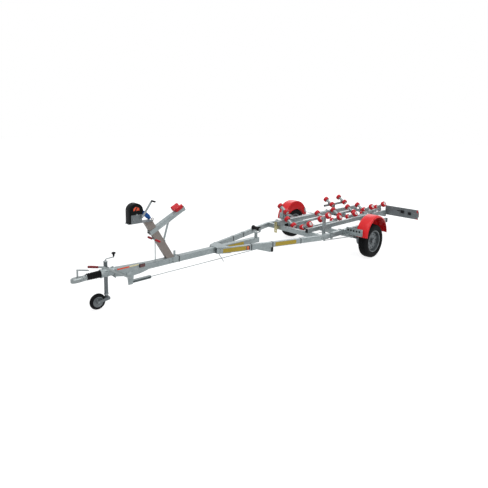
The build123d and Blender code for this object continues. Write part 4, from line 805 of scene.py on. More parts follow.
def addJockey(look):
    # winder: an arm swept along a bent line, a turned cap over the tube and a turned knob on a spindle
    up = (0, 0, 1)
    x, y, top = ahead(look["station"]), look["y"], look["top"]
    arm = sweep(smoothLine([(x - back, y, top + rise) for back, rise in look["arm"]], 7),
                circle(look["armRadius"], 14))
    tip = x - look["reach"]
    spindle = rod((tip, y, top + 0.030), (tip, y, top + 0.046), 0.006)
    addPiece("winderArm", [arm, lathe(look["cap"], (x, y, top), up, 40), spindle], "plated", "trailer", 50,
             replaced=["jockey_crank"])
    big = look["knobRadius"]
    knob = [(0.0002, 0), (0.011, 0), (0.0115, 0.010), (0.0125, 0.022), (0.018, 0.030), (big - 0.002, 0.034),
            (big, 0.039), (big - 0.0006, 0.045), (big - 0.004, 0.050), (big - 0.012, 0.0535), (0.0002, 0.0545)]
    addPiece("winderKnob", [lathe(knob, (tip, y, top + 0.0465), up, 40)], "softBlack", "trailer", 45)
    # clamp: a shell round the tube, a lug and a bent handle
    middle = np.array((x, y, look["clampZ"]))
    shell = lathe(look["shell"], middle, up, 48)
    lug = box(*(middle + np.array(look["lug"])))
    handle = sweep(smoothLine(middle + np.array(look["handle"]), 6), circle(look["handleRadius"], 12))
    addPiece("jockeyClamp", [shell, lug, handle], "galvanised", "trailer", 40, bevel=0.0012)
    addPiece("tubeCollar", [lathe(look["collar"], (x, y, look["collarZ"]), up, 40)], "plated", "trailer")


addJockey(jockeyLook)


jockeyWheelLook = {
    "station": 4.571, "y": -0.118, "radius": 0.100, "half": 0.030, "disc": 0.064, "bore": 0.0083,
    "grooves": (-0.42, 0, 0.42), "grooveDepth": 0.0022, "bolts": 5, "boltCircle": 0.033, "nutY": 0.0402,
}


def addJockeyWheel(look):
    # tyre: round tread r = big - 0.013*|t|^2.6 with grooves;
    # disc: pressed steel with a raised hub; both turned
    centre = np.array((ahead(look["station"]), look["y"], look["radius"]))
    half, big, disc, axle = look["half"], look["radius"], look["disc"], (0, 1, 0)
    t = np.linspace(-1, 1, 41)
    near = np.min(np.abs(t[:, None] - np.array(look["grooves"])[None]), axis=1)
    crown = big - 0.013 * np.abs(t) ** 2.6 - look["grooveDepth"] * (near < 0.05)
    side = [(big - 0.020, half - 0.0012), (disc + 0.012, half - 0.001), (disc + 0.002, half - 0.005)]
    outline = [(r, -h) for r, h in side[::-1]] + list(zip(crown, t * (half - 0.004))) + side
    outline += [(disc, half - 0.007), (disc, -half + 0.007)]
    addPiece("jockeyTyre", [lathe(outline, centre, axle, 72)], "tyreBlack", "jockey_roll_body", 50,
             replaced=["jockey_wheel"])
    face = [(look["bore"], half - 0.0002), (0.015, half - 0.0002), (0.018, half - 0.003),
            (0.022, half - 0.012), (0.042, half - 0.014), (0.052, half - 0.008), (disc - 0.004, half - 0.0045),
            (disc + 0.0015, half - 0.0045), (disc + 0.0015, half - 0.007)]
    profile = face + [(r, -h) for r, h in face[::-1]]
    addPiece("jockeyDisc", [lathe(profile, centre, axle, 64)], "rimSilver", "jockey_roll_body", 40)
    angle = np.arange(look["bolts"]) * 2 * np.pi / look["bolts"]
    ring = look["boltCircle"] * np.stack([np.cos(angle), 0 * angle, np.sin(angle)], 1)
    bolts = [(centre + spot + (0, way * (half - 0.0142), 0), (0, way, 0)) for spot in ring for way in (1, -1)]
    addPiece("discBolts", [hexHeads(bolts, 0.0045, 0.004)], "plated", "jockey_roll_body")
    nuts = [(centre + (0, way * look["nutY"], 0), (0, way, 0)) for way in (1, -1)]
    addPiece("forkNuts", [hexHeads(nuts, 0.010, 0.007)], "plated", "jockey_caster")


addJockeyWheel(jockeyWheelLook)


gripLook = {
    "radius": 0.015, "rings": 8, "ringDepth": 0.0011,
    "lever": (4.620, 0.062, 0.598), "leverRun": (0.9701, 0, 0.2425), "leverStart": 0.0112,
    "leverLength": 0.125, "brace": (3.850, 0.020, 0.792), "braceStart": 0.050, "braceLength": 0.100,
}


def grip(look, origin, axis, length):
    # moulded grip: round end, finger rings and a flared collar; r = radius*(0.86 + 0.10*sin^0.7) + depth*cos
    t = np.linspace(0, 1, 65)
    radius = look["radius"]
    rings = np.cos(2 * np.pi * look["rings"] * t)
    r = radius * (0.86 + 0.10 * np.sin(np.pi * t) ** 0.7) + look["ringDepth"] * rings
    outline = [(0.0002, 0), (radius * 0.99, 0), (radius * 0.99, 0.004)] + list(zip(r[3:-4], t[3:-4] * length))
    outline += [(radius * 0.72, length * 0.975), (radius * 0.45, length * 0.997), (0.0002, length)]
    return lathe(outline, origin, axis, 32)


def addGrips(look):
    # one grip on the brake lever, two on the brace of the winch post
    run = np.array(look["leverRun"])
    start = np.array(look["lever"]) + (axleX, 0, 0) + run * look["leverStart"]
    addPiece("leverSleeve", [grip(look, start, run, look["leverLength"])], "gripDark", "trailer", 45)
    station, y, z = look["brace"]
    sleeves = [grip(look, (ahead(station), y + way * look["braceStart"], z), (0, way, 0), look["braceLength"])
               for way in (1, -1)]
    addPiece("gripSleeves", sleeves, "gripRed", "trailer", 45, replaced=["red_grips"])


addGrips(gripLook)
print("nose, jockey wheel and grips made")


winchLook = {
    "station": 4.110, "z": 1.160, "half": 0.062, "archZ": 1.205, "radius": 0.093, "frontX": 0.093,
    "rearX": -0.073, "rearLip": 0.020, "cheekInset": 0.004, "cheekSink": 0.0015, "cheekSteps": 33,
    "hoodWall": 0.003, "corner": 0.010, "frontZ": (1.053, 1.10, 1.15), "rearZ": 1.193, "cheekZ": 1.158,
    "archSteps": 25, "teeth": 44, "gearRadius": 0.066, "toothDepth": 0.0032, "gearSide": (0.0495, 0.0115),
    "coreRadius": 0.0265, "coilFrom": 0.027, "rollRadius": 0.052, "layer": 0.0021, "webShare": 0.42,
    "strapHalf": 0.025, "strapSlack": 0.0055, "strapY": -0.005, "wander": 0.0012,
    # radius, distance along the axis
    "spool": [(0.0102, -0.0495), (0.066, -0.0495), (0.0665, -0.0485), (0.0665, -0.0470), (0.066, -0.0460),
              (0.025, -0.0455), (0.0245, 0.0350), (0.0655, 0.0355), (0.0655, 0.0375), (0.0102, 0.0378)],
}


def hoodShell(look):
    # arched cover: front wall, half-round roof and short rear wall as one line, carried across the winch;
    # the line shrinks near both sides by corner*(1 - sqrt(1 - (1 - t)^2)), and a second skin lies inside it
    arch = halfRound(look["radius"], look["archSteps"]) + (0, look["archZ"])
    front = [(look["frontX"], z) for z in look["frontZ"]]
    skin = np.array(front + arch.tolist() + [(look["rearX"] - look["rearLip"], look["rearZ"])])
    lean = rowUnits(np.gradient(skin, axis=0))
    inward = np.stack([-lean[:, 1], lean[:, 0]], 1)
    t = np.array([0, 0.15, 0.4, 1.0])
    corner = look["corner"]
    inset = corner * (1 - np.sqrt(1 - (1 - t) ** 2))
    ys = np.concatenate([-look["half"] + corner * t, (look["half"] - corner * t)[::-1]])
    outer = skin[None] + inward[None] * np.concatenate([inset, inset[::-1]])[:, None, None]
    x = ahead(look["station"]) + outer[..., 0]
    points = np.stack([x, np.broadcast_to(ys[:, None], x.shape), outer[..., 1]], -1)
    wall = np.stack([inward[:, 0], 0 * inward[:, 0], inward[:, 1]], 1) * look["hoodWall"]
    rows, columns = len(ys), len(skin)
    size = rows * columns
    grid = gridFaces(rows, columns)
    rim = [r * columns for r in range(rows)] + [(rows - 1) * columns + c for c in range(1, columns)]
    rim += [r * columns + columns - 1 for r in range(rows - 2, -1, -1)] + list(range(columns - 2, 0, -1))
    edge = [(a, b, b + size, a + size) for a, b in zip(rim, rim[1:] + rim[:1])]
    both = np.concatenate([points.reshape(-1, 3), (points + wall).reshape(-1, 3)])
    return both, [*grid, *(grid + size), *edge]


def hoodSide(look, way):
    # flat cheek closing the arch down to its straight lower edge
    inset, sink = look["cheekInset"], look["cheekSink"]
    arch = halfRound(look["radius"] - inset, look["cheekSteps"]) + (0, look["archZ"])
    rear = look["rearX"]
    outline = np.concatenate([[(look["frontX"] - inset, look["cheekZ"])], arch,
                              [(rear - look["rearLip"] + inset, look["rearZ"]), (rear, look["cheekZ"])]])
    base = (ahead(look["station"]), way * (look["half"] - sink) + sink, 0)
    return prism(outline, base, (1, 0, 0), (0, 0, 1), look["hoodWall"])


def gear(look):
    # toothed outline: radius swings with a flattened sine round the rim
    turn = np.linspace(0, 2 * np.pi, look["teeth"] * 8, endpoint=False)
    r = look["gearRadius"] - 0.0035 + look["toothDepth"] * np.clip(np.sin(turn * look["teeth"]) * 1.6, -1, 1)
    outline = np.stack([r * np.cos(turn), r * np.sin(turn)], 1)
    side, depth = look["gearSide"]
    return prism(outline, (ahead(look["station"]), side, look["z"]), (1, 0, 0), (0, 0, 1), depth)


def strapCoil(look):
    # wound strap: a spiral whose radius grows by one layer per turn, with a flat section that wanders slightly
    turns = int((look["rollRadius"] - look["coilFrom"]) / look["layer"])
    t = np.linspace(0, turns * 2 * np.pi, turns * 48)
    spoke = np.stack([np.cos(t), 0 * t, np.sin(t)], 1)
    r = look["coreRadius"] + look["layer"] * t / (2 * np.pi)
    middle = np.array((ahead(look["station"]), look["strapY"], look["z"])) + spoke * r[:, None]
    middle[:, 1] += look["wander"] * np.sin(t / 7.3)
    half, thick = look["strapHalf"] + look["strapSlack"], look["layer"] * look["webShare"]
    edge = np.array([(-half, -thick), (-half, thick), (half, thick), (half, -thick)])
    points = middle[:, None] + edge[None, :, :1] * np.array((0, 1, 0)) + edge[None, :, 1:] * spoke[:, None]
    return points.reshape(-1, 3), tubeFaces(len(t), 4)


def ribbon(path, twist, half, thick):
    # flat strip along a path: path + wide*half*u, thinner at its edges; twist (radians)
    # turns its width about the path, and half may change from point to point
    path, across = np.asarray(path, float), np.array((0, 1.0, 0))
    run = rowUnits(np.gradient(path, axis=0))
    side = rowUnits(across - run * (run @ across)[:, None])
    up = np.cross(run, side)
    wide = side * np.cos(twist)[:, None] + up * np.sin(twist)[:, None]
    out = np.cross(run, wide)
    u = np.linspace(-1, 1, 13)
    reach = np.broadcast_to(half, len(path))[:, None, None] * u[None, :, None]
    level = (thick * (1 - 0.35 * u ** 6))[None, :, None]
    middle = path[:, None] + wide[:, None] * reach
    loop = np.concatenate([middle + out[:, None] * level, (middle - out[:, None] * level)[:, ::-1]], 1)
    return loop.reshape(-1, 3), tubeFaces(len(path), loop.shape[1])


# blank half-round badge on the left cheek: an orange-red field crossed by a dark bar
badgeLook = {
    "station": 4.116, "z": 1.216, "out": 0.0003, "radius": 0.042, "past": 0.12, "thick": 0.0012,
    "slashThick": 0.0016, "slash": [(0.012, -0.014), (0.026, -0.010), (-0.006, 0.038), (-0.020, 0.034)],
}


def addWinch(look, badge):
    # hood with its badge, turned spool with its gear, and the wound strap
    addPiece("hoodCover", [hoodShell(look), hoodSide(look, 1), hoodSide(look, -1)], "glossBlack", "trailer",
             30, replaced=["winch_hood"])
    spool = lathe(look["spool"], (ahead(look["station"]), 0, look["z"]), (0, 1, 0), 72)
    place = np.array((ahead(badge["station"]), look["half"] + badge["out"], badge["z"]))
    field = halfRound(badge["radius"], 29, badge["past"])[::-1]
    patch = prism(field, place + (0, 0.0010, 0), (1, 0, 0), (0, 0, 1), badge["thick"])
    slash = prism(badge["slash"][::-1], place + (0, 0.0015, 0), (1, 0, 0), (0, 0, 1), badge["slashThick"])
    addPiece("hoodBadge", [patch], "labelOrange", "trailer")
    addPiece("hoodSlash", [slash], "blackPlastic", "trailer")
    addPiece("drumSpool", [spool, gear(look)], "plated", "drum", 30, replaced=["winch_drum"])
    addPiece("strapCoil", [strapCoil(look)], "strapBlue", "drum", 50, replaced=["strap_roll"])


addWinch(winchLook, badgeLook)


strapLook = {
    # station, side, height of the drum's end and the hook's end; the bends are steps from the first
    "start": (4.0605, -0.005, 1.178), "end": (3.888, -0.005, 1.066), "thick": 0.0022, "half": 0.025,
    "bends": [(-0.035, 0.002, -0.006), (-0.078, 0.012, -0.024), (-0.122, 0.016, -0.062)],
    "twist": -1.25, "untwist": 0.25, "width": ((0, 0.25, 0.82, 1), (1.0, 1.15, 1.15, 0.75)),
}


def addStrap(look):
    # ribbon along a smooth line: it turns on edge in the first part of the way and back a little at the hook
    start, end = (np.array(look[key]) + (axleX, 0, 0) for key in ("start", "end"))
    line = smoothLine([start, *(start + np.array(look["bends"])), end], 10)
    share = np.linspace(0, 1, len(line))
    turned, back = np.clip(share / 0.38, 0, 1) ** 1.4, np.clip((share - 0.8) / 0.2, 0, 1)
    twist = look["twist"] * turned + look["untwist"] * back
    half = look["half"] * np.interp(share, *look["width"])
    addPiece("strapEnd", [ribbon(line, twist, half, look["thick"])], "strapBlue", "trailer", 50,
             replaced=["strap_tail"])


addStrap(strapLook)


crankLook = {
    # station, distance from the middle, height of the pinion shaft and of the handle
    "foot": (4.045, 0.0795, 1.122), "tip": (3.908, 0.0795, 1.314), "width": 0.026, "thick": 0.0060,
    "plateY": 0.0562, "plateBolts": ((0.048, -0.062), (-0.052, -0.066)), "baseBolts": (3.895, 4.19),
    "baseY": 0.040, "baseZ": 1.0508,
    # radius, distance along the axis
    "end": [(0.0002, -0.0026), (0.0125, -0.0026), (0.0125, 0.0026), (0.0002, 0.0026)],
    "boss": [(0.0075, -0.012), (0.0118, -0.012), (0.0118, 0.004), (0.0102, 0.006), (0.0075, 0.006)],
    "handle": [(0.0002, 0.004), (0.0085, 0.004), (0.0115, 0.008), (0.0117, 0.020), (0.0106, 0.034),
               (0.0108, 0.052),
               (0.0118, 0.068), (0.0116, 0.077), (0.0090, 0.0835), (0.0045, 0.0845), (0.0002, 0.0845)],
}


def addCrank(look, winch):
    # the winch's own bolts and the nuts on its shaft
    x, z, ways = ahead(winch["station"]), winch["z"], (1, -1)
    plates = [((x + dx, way * look["plateY"], z + dz), (0, way, 0)) for way in ways
              for dx, dz in look["plateBolts"]]
    shaft = [((x, way * look["plateY"], z), (0, way, 0)) for way in ways]
    base = [((ahead(s), way * look["baseY"], look["baseZ"]), (0, 0, 1)) for s in look["baseBolts"]
            for way in ways]
    addPiece("winchBolts", [hexHeads(plates, 0.0075, 0.006), hexHeads(base, 0.008, 0.006)],
             "plated", "trailer")
    addPiece("drumNuts", [hexHeads(shaft, 0.011, 0.008)], "plated", "trailer")
    # flat arm from the pinion shaft out to a turned handle: a rectangle pushed along the arm
    foot, tip = (np.array(look[key]) + (axleX, 0, 0) for key in ("foot", "tip"))
    run, axle = unit(tip - foot), np.array((0, 1.0, 0))
    wide, thick = np.cross(run, axle) * look["width"] / 2, axle * look["thick"] / 2
    arm = push([foot - wide - thick, foot + wide - thick, foot + wide + thick, foot - wide + thick],
               tip - foot)
    ends = [lathe(look["end"], place, axle, 32) for place in (foot, tip)]
    addPiece("crankArm", [arm, *ends, lathe(look["boss"], foot, axle, 32)], "plated", "crank", 35,
             bevel=0.0006, replaced=["winch_crank"])
    addPiece("crankNut", [hexHeads([(foot + axle * 0.0055, axle)], 0.0085, 0.006)], "plated", "crank")
    addPiece("crankHandle", [lathe(look["handle"], tip, axle, 40)], "softBlack", "crank", 45)


addCrank(crankLook, winchLook)
print("winch made")


lampLook = {
    "x": (-1.5998, -1.555), "y": (0.860, 1.025), "z": (0.512, 0.622), "split": 0.972, "base": 0.016,
    "gap": 0.003, "ribs": 15, "turnRibs": 6, "ribDepth": 0.0014, "screws": 0.030,
    "screw": [(0.0002, 0), (0.004, 0), (0.004, 0.002), (0.0002, 0.0024)],
    # low and high corners as station, distance from the middle, height
    "sockets": [((-1.5305, 0.676, 0.556), (-1.516, 0.744, 0.612)),
                ((-1.5305, 0.826, 0.543), (-1.514, 0.886, 0.598)),
                ((-1.5305, 0.60, 0.588), (-1.524, 0.68, 0.602))],
    "ends": [((-1.556, 1.000, 0.606), (-1.5285, 1.0248, 0.6615)),
             ((-1.556, 0.985, 0.4725), (-1.5285, 1.0248, 0.490))],
}


def boxAhead(low, high):
    # box between two corners whose first number is a station
    return box((ahead(low[0]), *low[1:]), (ahead(high[0]), *high[1:]))


def lens(look, low, high, ribs):
    # ribbed lens: a box whose rear face is a row of shallow rounds, x = face - depth*|sin|, with rounded sides
    y = np.linspace(low[1], high[1], ribs * 8 + 1)
    deep = look["ribDepth"]
    ridge = deep - deep * np.abs(np.sin(np.linspace(0, ribs * np.pi, len(y))))
    edge = np.minimum(1, np.minimum(y - low[1], high[1] - y) / 0.006)
    inset = 0.004 * (1 - np.sqrt(np.clip(1 - (1 - edge) ** 2, 0, 1)))
    z = np.array([low[2], low[2], low[2] + 0.002, high[2] - 0.002, high[2], high[2]])
    out = np.array([0.0, 0.80, 1.0, 1.0, 0.80, 0.0])
    x = high[0] + (low[0] - high[0]) * out[None, :] + (inset + ridge)[:, None] * (out > 0)[None, :]
    x = ahead(np.maximum(x, low[0]))
    points = np.stack([x, np.broadcast_to(y[:, None], x.shape), np.broadcast_to(z[None], x.shape)], -1)
    return points.reshape(-1, 3), tubeFaces(len(y), 6)


def addLamps(look):
    # black base with a red and an amber lens side by side
    (x0, x1), (y0, y1), (z0, z1) = look["x"], look["y"], look["z"]
    back, gap, split = x1 - look["base"], look["gap"], look["split"]
    red = lens(look, (x0, y0 + gap, z0 + gap), (back + 0.001, split, z1 - gap), look["ribs"])
    amber = lens(look, (x0, split + 0.001, z0 + gap), (back + 0.001, y1 - gap, z1 - gap), look["turnRibs"])
    screws = [lathe(look["screw"], (ahead(x0 + 0.0030), y, (z0 + z1) / 2), (-1, 0, 0), 16)
              for y in (y0 + look["screws"], y1 - look["screws"])]
    addPiece("lampBase", [boxAhead((back, y0, z0), (x1, y1, z1))], "blackPlastic", "trailer", bevel=0.002)
    addPiece("tailLens", [red], "lampRed", "trailer", 40, replaced=["lamps"])
    addPiece("turnLens", [amber], "lampOrange", "trailer", 40)
    addPiece("lensScrews", screws, "plated", "trailer")
    # black sockets on the board's front and the lamp's red ends that reach past it
    addPiece("boardSockets", [boxAhead(*pair) for pair in look["sockets"]], "blackPlastic", "trailer",
             bevel=0.003)
    addPiece("lampEnds", [boxAhead(*pair) for pair in look["ends"]], "lampRed", "trailer", bevel=0.002)


addLamps(lampLook)


# the left fork beam's outer face: its start, its direction to the rear and outward, and its middle height
forkLook = {"start": (2.780, 0.120), "run": (-0.9628, 0.2703, 0), "out": (0.2703, 0.9628, 0), "half": 0.025,
            "z": 0.458}


def alongFork(distance, out=0.0, z=forkLook["z"]):
    # point a distance from the fork's front and out from the left fork beam's outer face
    run, outward = np.array(forkLook["run"]), np.array(forkLook["out"])
    x, y = forkLook["start"]
    return np.array((ahead(x), y, z)) + run * distance + outward * (out + forkLook["half"])


markerLook = {
    "distance": 0.425, "shrink": 0.003,
    # first and last place along the beam, half height, inner and outer level
    "base": (-0.0275, 0.0275, 0.030, 0.0003, 0.007), "amber": (-0.0255, 0.004, 0.028, 0.006, 0.0195),
    "red": (0.005, 0.0255, 0.028, 0.006, 0.0190),
}


def addMarker(look):
    # flat black foot with an amber and a dark red lens side by side; each block narrows outward
    def block(first, last, tall, low, high):
        rings = [[alongFork(look["distance"] + a, level, forkLook["z"] + b)
                  for a, b in ((first + less, less - tall), (last - less, less - tall),
                               (last - less, tall - less), (first + less, tall - less))]
                 for level, less in ((low, 0), (high, look["shrink"]))]
        return np.concatenate(rings), tubeFaces(2, 4)

    addPiece("markerBase", [block(*look["base"])], "blackPlastic", "trailer", bevel=0.001)
    addPiece("markerAmber", [block(*look["amber"])], "lampOrange", "trailer", bevel=0.002)
    addPiece("markerRed", [block(*look["red"])], "lampDark", "trailer", bevel=0.002)


addMarker(markerLook)


# dark red lens in a black shell on the left of the drawbar
noseLampLook = {
    "shell": ((4.000, 0.0402, 0.467), (4.080, 0.052, 0.513)),
    "lens": ((4.004, 0.050, 0.471), (4.076, 0.0638, 0.509)),
}
addPiece("noseLampShell", [boxAhead(*noseLampLook["shell"])], "blackPlastic", "trailer", bevel=0.003)
addPiece("noseLampLens", [boxAhead(*noseLampLook["lens"])], "lampDark", "trailer", bevel=0.004)


labelLook = {
    "thick": 0.0009, "drawbarY": 0.040,
    # first and last distance along the fork beam, low and high edge
    "fork": [(0.012, 0.388, 0.427, 0.489), (0.905, 1.292, 0.427, 0.489)],
    # front and rear station on the drawbar, low and high edge
    "yellow": (2.590, 2.262, 0.434, 0.484), "orange": (4.378, 4.215, 0.499, 0.5172),
    "pale": (4.212, 4.088, 0.503, 0.5172),
}


def addLabels(look):
    # blank labels: four corners pushed outward by the label's thickness
    def corners(first, last, low, high):
        return (first, low), (last, low), (last, high), (first, high)

    thick = look["thick"]
    yellow = [push([alongFork(a, 0, z) for a, z in corners(*patch)], np.array(forkLook["out"]) * thick)
              for patch in look["fork"]]
    flat = {key: push([(ahead(s), look["drawbarY"], z) for s, z in corners(*look[key])], (0, thick, 0))
            for key in ("yellow", "orange", "pale")}
    addPiece("yellowLabels", yellow + [flat["yellow"]], "labelYellow", "trailer")
    addPiece("orangeLabel", [flat["orange"]], "labelOrange", "trailer")
    addPiece("paleLabel", [flat["pale"]], "labelPale", "trailer")


addLabels(labelLook)
print("lamps and labels made")


boltLook = {
    "head": 0.0085, "height": 0.007,
    # stations, distance from the middle, heights; each bolt is on both sides
    "pairs": [
        ((0.800, 0.770, 0.475, 0.445, -0.785, -0.815), 0.6302, (0.503, 0.413)),  # clamps on the side beams
        ((1.055, 1.005), 0.6252, (0.458,)),  # ends of the front crossbeam
        ((0.200,), 0.688, (0.360,)),  # axle arms
        ((3.569, 3.627), 0.0402, (0.475, 0.435)),  # joint in the drawbar
        ((3.905,), 0.0302, (0.880,)), ((3.690,), 0.0302, (0.745,)), ((3.612,), 0.0302, (1.0,))],  # winch post
    "board": (-1.530, (0.42, 0.78, 0.95), 0.585),
}


def addFrameBolts(look):
    # a bolt at each place on both sides, then those of the lamp board, on the left only
    bolts = [((ahead(station), side * y, z), (0, side, 0))
             for stations, y, heights in look["pairs"] for side in (1, -1) for station in stations
             for z in heights]
    station, places, z = look["board"]
    bolts += [((ahead(station), y, z), (1, 0, 0)) for y in places]
    addPiece("frameBolts", [hexHeads(bolts, look["head"], look["height"])], "plated", "trailer")


addFrameBolts(boltLook)


capLook = {
    # low and high corner round the middle of the side beam's rear end
    "beamRear": (-1.050, 0.600, 0.458), "sleeve": ((-0.050, -0.0262, -0.0412), (0.012, 0.0262, 0.0412)),
    "wedgeRear": 0.829, "wedgeFoot": 0.040, "wedgeTop": 0.418, "wedgeLow": 0.0755, "wedgeGap": 0.0005,
    "armSleeve": (0.566, 0.6005), "armHalf": (0.0305, 0.0365),
    # station, distance from the middle
    "web": [(2.842, 0.0865), (2.773, 0.1485), (2.773, 0.1440), (2.842, 0.0820)], "webZ": (0.4205, 0.4955),
    # a web bolt's station and distance from the middle, its heights, and its direction ahead and outward
    "webBolt": (2.8075, 0.1177), "webBoltZ": (0.438, 0.478), "webOut": (0.668, 0.744),
}


def addCaps(look):
    # plastic sleeves over the side beams' rear ends
    sleeves = []
    for side in (1, -1):
        station, y, z = look["beamRear"]
        sleeves.append(box(*(np.array((ahead(station), side * y, z)) + look["sleeve"])))
    addPiece("beamSleeves", sleeves, "blackPlastic", "trailer", bevel=0.004)
    # block behind the wedge under the left fork beam
    rear, foot, half = look["wedgeRear"], look["wedgeFoot"], forkLook["half"]
    ring = [alongFork(rear + a, b - half, look["wedgeTop"] - look["wedgeLow"])
            for a, b in ((0, -half), (foot, -half), (foot, half), (0, half))]
    block = push(ring, (0, 0, look["wedgeLow"] - look["wedgeGap"]))
    addPiece("wedgeBlock", [block], "blackPlastic", "trailer", bevel=0.003)
    # sleeve over the snubber arm's upper end
    (first, last), (wide, tall) = look["armSleeve"], look["armHalf"]
    start, run, up = alongArm(snubberLook, first)
    ring = [start + np.array((0, a * wide, 0)) + up * b * tall
            for a, b in ((-1, -1), (1, -1), (1, 1), (-1, 1))]
    addPiece("armSleeve", [push(ring, run * (last - first))], "oliveCap", "trailer", bevel=0.003)
    # webs that close the sides of the fork's plates
    low, high = look["webZ"]
    webs = [push([(ahead(s), y * way, low) for s, y in look["web"]], (0, 0, high - low)) for way in (1, -1)]
    addPiece("forkWebs", webs, "galvanised", "trailer")
    (station, y), (forward, sideways) = look["webBolt"], look["webOut"]
    bolts = [((ahead(station), way * y, z), (forward, way * sideways, 0)) for way in (1, -1)
             for z in look["webBoltZ"]]
    addPiece("forkBolts", [hexHeads(bolts, 0.008, 0.006)], "plated", "trailer")


addCaps(capLook)


pivotLook = {
    "lugs": 0.0225, "head": 0.010, "height": 0.007,
    # pivot station, distance from the middle, height
    "pivots": [(-0.800, 0.450, 0.655), (0.460, 0.180, 0.515), (-0.800, 0.180, 0.515)],
}


def addPivotNuts(look):
    # a nut on each face of the lugs that hold the rockers' pins
    nuts = [((ahead(station), side * y + way * look["lugs"], z), (0, way, 0))
            for station, y, z in look["pivots"] for side in (1, -1) for way in (1, -1)]
    addPiece("pivotNuts", [hexHeads(nuts, look["head"], look["height"])], "plated", "trailer")


addPivotNuts(pivotLook)


valveLook = {
    "y": 0.9445, "z": 0.4675, "lean": (0.72, -0.69),  # its direction is outward and down
    # radius, distance along the stem
    "stem": [(0.0002, 0), (0.0058, 0), (0.0055, 0.008), (0.0036, 0.012), (0.0034, 0.026), (0.0042, 0.027),
             (0.0042, 0.036), (0.0034, 0.038), (0.0002, 0.038)],
}


def addValve(look, sideName, side):
    # valve with its cap, leaning out of the rim
    out, down = look["lean"]
    stem = lathe(look["stem"], (ahead(0), side * look["y"], look["z"]), (0, side * out, down), 20)
    addPiece(f"valve_{sideName}", [stem], "softBlack", f"wheel_{sideName}")


for sideName, side in sides.items():
    addValve(valveLook, sideName, side)
print("small hardware made")


cameraLook = {
    "place": (4.915, 4.62, 2.26), "yaw": -131.79, "pitch": -8.1, "roll": 0.8,
    "pixels": 488, "focal": 416.1, "centre": (233.9, 185.5), "sensor": 36,
}


def addCamera(look):
    # looks along yaw and pitch, then rolls about its own line of sight
    yaw, pitch, roll = (math.radians(look[key]) for key in ("yaw", "pitch", "roll"))
    forward = Vector((math.cos(pitch) * math.cos(yaw), math.cos(pitch) * math.sin(yaw), math.sin(pitch)))
    right = forward.cross(Vector((0, 0, 1))).normalized()
    up = right.cross(forward)
    turn = Matrix((right, up, -forward)).transposed() @ Matrix.Rotation(roll, 3, "Z")
    pixels, (acrossMiddle, downMiddle) = look["pixels"], look["centre"]
    data = bpy.data.cameras.new("mainView")
    data.sensor_width = look["sensor"]
    data.lens = look["focal"] / pixels * look["sensor"]
    data.shift_x = (pixels / 2 - acrossMiddle) / pixels
    data.shift_y = (downMiddle - pixels / 2) / pixels
    data.clip_end = 200
    camera = bpy.data.objects.new("mainView", data)
    camera.matrix_world = Matrix.Translation(look["place"]) @ turn.to_4x4()
    bpy.context.scene.collection.objects.link(camera)
    bpy.context.scene.camera = camera


def addLight(name, place, target, size, power, colour):
    # rectangular lamp turned to face its target
    data = bpy.data.lights.new(name, "AREA")
    data.shape = "RECTANGLE"
    data.size, data.size_y = size
    data.energy = power
    data.color = colour
    light = bpy.data.objects.new(name, data)
    light.location = place
    light.rotation_euler = (Vector(target) - Vector(place)).to_track_quat("-Z", "Y").to_euler()
    bpy.context.scene.collection.objects.link(light)


studioLook = {
    # name, place, target, size, watts, colour
    "lights": [
        ("skyPanel", (0.5, 1.5, 6.0), (0, 0, 0), (8, 6), 300, (1.0, 0.99, 0.98)),
        ("sidePanel", (3.2, 7.2, 3.2), (0, 0, 0.4), (4, 3), 90, (1.0, 0.98, 0.96)),
        ("rearPanel", (-5.5, -3.5, 3.5), (-1, 0, 0.5), (4, 3), 60, (0.95, 0.98, 1.0))],
    "zenith": (0.62, 0.66, 0.70), "horizon": (0.12, 0.13, 0.137), "ground": (0.20, 0.20, 0.20),
    "floorBounce": (0.50, 0.50, 0.50), "floorShade": 0.30, "floorGlow": 0.84, "fadeFrom": 3.4, "fadeTo": 5.5,
    "floorHalf": 60,
}


def seenDirectly(tree):
    # 1 on camera, glossy and transmission rays, else 0
    path = tree.nodes.new("ShaderNodeLightPath")
    total = Value(tree, path.outputs["Is Camera Ray"])
    for kind in ("Is Glossy Ray", "Is Transmission Ray"):
        total = total + Value(tree, path.outputs[kind])
    return total.math("MINIMUM", total, 1.0).socket


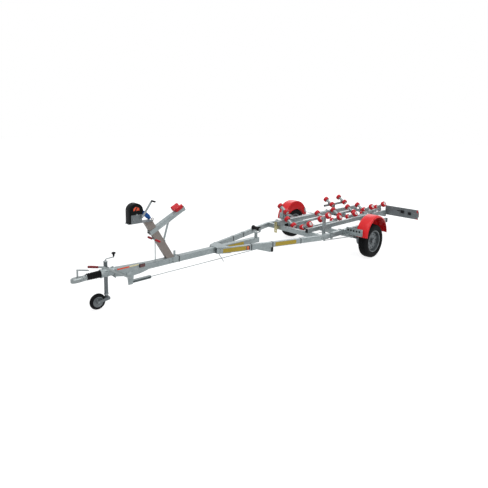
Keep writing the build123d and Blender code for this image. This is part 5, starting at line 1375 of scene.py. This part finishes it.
def addWorld(look):
    # directly seen the room is plain white; it lights the object as a pale room that is brighter overhead
    world = bpy.data.worlds.new("paleRoom")
    world.use_nodes = True
    bpy.context.scene.world = world
    tree = world.node_tree
    tree.nodes.clear()
    link = tree.links.new
    place = tree.nodes.new("ShaderNodeTexCoord")
    parts = tree.nodes.new("ShaderNodeSeparateXYZ")
    height = tree.nodes.new("ShaderNodeMapRange")
    height.inputs["From Min"].default_value = -1.0
    ramp = tree.nodes.new("ShaderNodeValToRGB")
    stops = ramp.color_ramp.elements
    stops.new(0.5)
    shades = ((0.42, look["ground"]), (0.52, look["horizon"]), (0.85, look["zenith"]))
    for stop, (position, colour) in zip(stops, shades):
        stop.position = position
        stop.color = (*colour, 1.0)
    soft, seen = (tree.nodes.new("ShaderNodeBackground") for _ in range(2))
    seen.inputs["Color"].default_value = (1, 1, 1, 1)
    mix = tree.nodes.new("ShaderNodeMixShader")
    out = tree.nodes.new("ShaderNodeOutputWorld")
    link(place.outputs["Generated"], parts.inputs[0])
    link(parts.outputs["Z"], height.inputs["Value"])
    link(height.outputs[0], ramp.inputs[0])
    link(ramp.outputs[0], soft.inputs["Color"])
    link(seenDirectly(tree), mix.inputs[0])
    link(soft.outputs[0], mix.inputs[1])
    link(seen.outputs[0], mix.inputs[2])
    link(mix.outputs[0], out.inputs["Surface"])


def addFloor(look):
    # directly seen the floor glows but still takes the shadows near
    # the object; it lights the object as a pale grey one
    mesh = bpy.data.meshes.new("floor")
    half = look["floorHalf"]
    mesh.from_pydata([(-half, -half, 0), (half, -half, 0), (half, half, 0), (-half, half, 0)], [],
                     [(0, 1, 2, 3)])
    floor = bpy.data.objects.new("floor", mesh)
    bpy.context.scene.collection.objects.link(floor)
    f = Finish("paleFloor")
    distance = f.node("VectorMath", {"operation": "LENGTH"}, {0: f.place}, output="Value")
    far = f.ramp(distance, look["fadeFrom"], look["fadeTo"])
    glow = f.blend(far, (look["floorGlow"],) * 3, (1.0, 1.0, 1.0))
    tone = f.blend(f.noise(0.8, 2.0), (look["floorShade"] * 0.96,) * 3, (look["floorShade"],) * 3)
    f.send(tone, 0.95, Emission_Strength=1.0, Specular_IOR_Level=0.0)
    f.tree.links.new(glow.socket, f.shader.inputs["Emission Color"])
    plain = f.tree.nodes.new("ShaderNodeBsdfDiffuse")
    plain.inputs["Color"].default_value = (*look["floorBounce"], 1.0)
    mix = f.tree.nodes.new("ShaderNodeMixShader")
    f.tree.links.new(seenDirectly(f.tree), mix.inputs[0])
    f.tree.links.new(plain.outputs[0], mix.inputs[1])
    f.tree.links.new(f.shader.outputs[0], mix.inputs[2])
    f.tree.links.new(mix.outputs[0], f.tree.nodes["Material Output"].inputs["Surface"])
    mesh.materials.append(f.material)


addCamera(cameraLook)
for light in studioLook["lights"]:
    addLight(*light)
addWorld(studioLook)
addFloor(studioLook)
bpy.context.scene.view_settings.view_transform = "Standard"
print("studio ready")
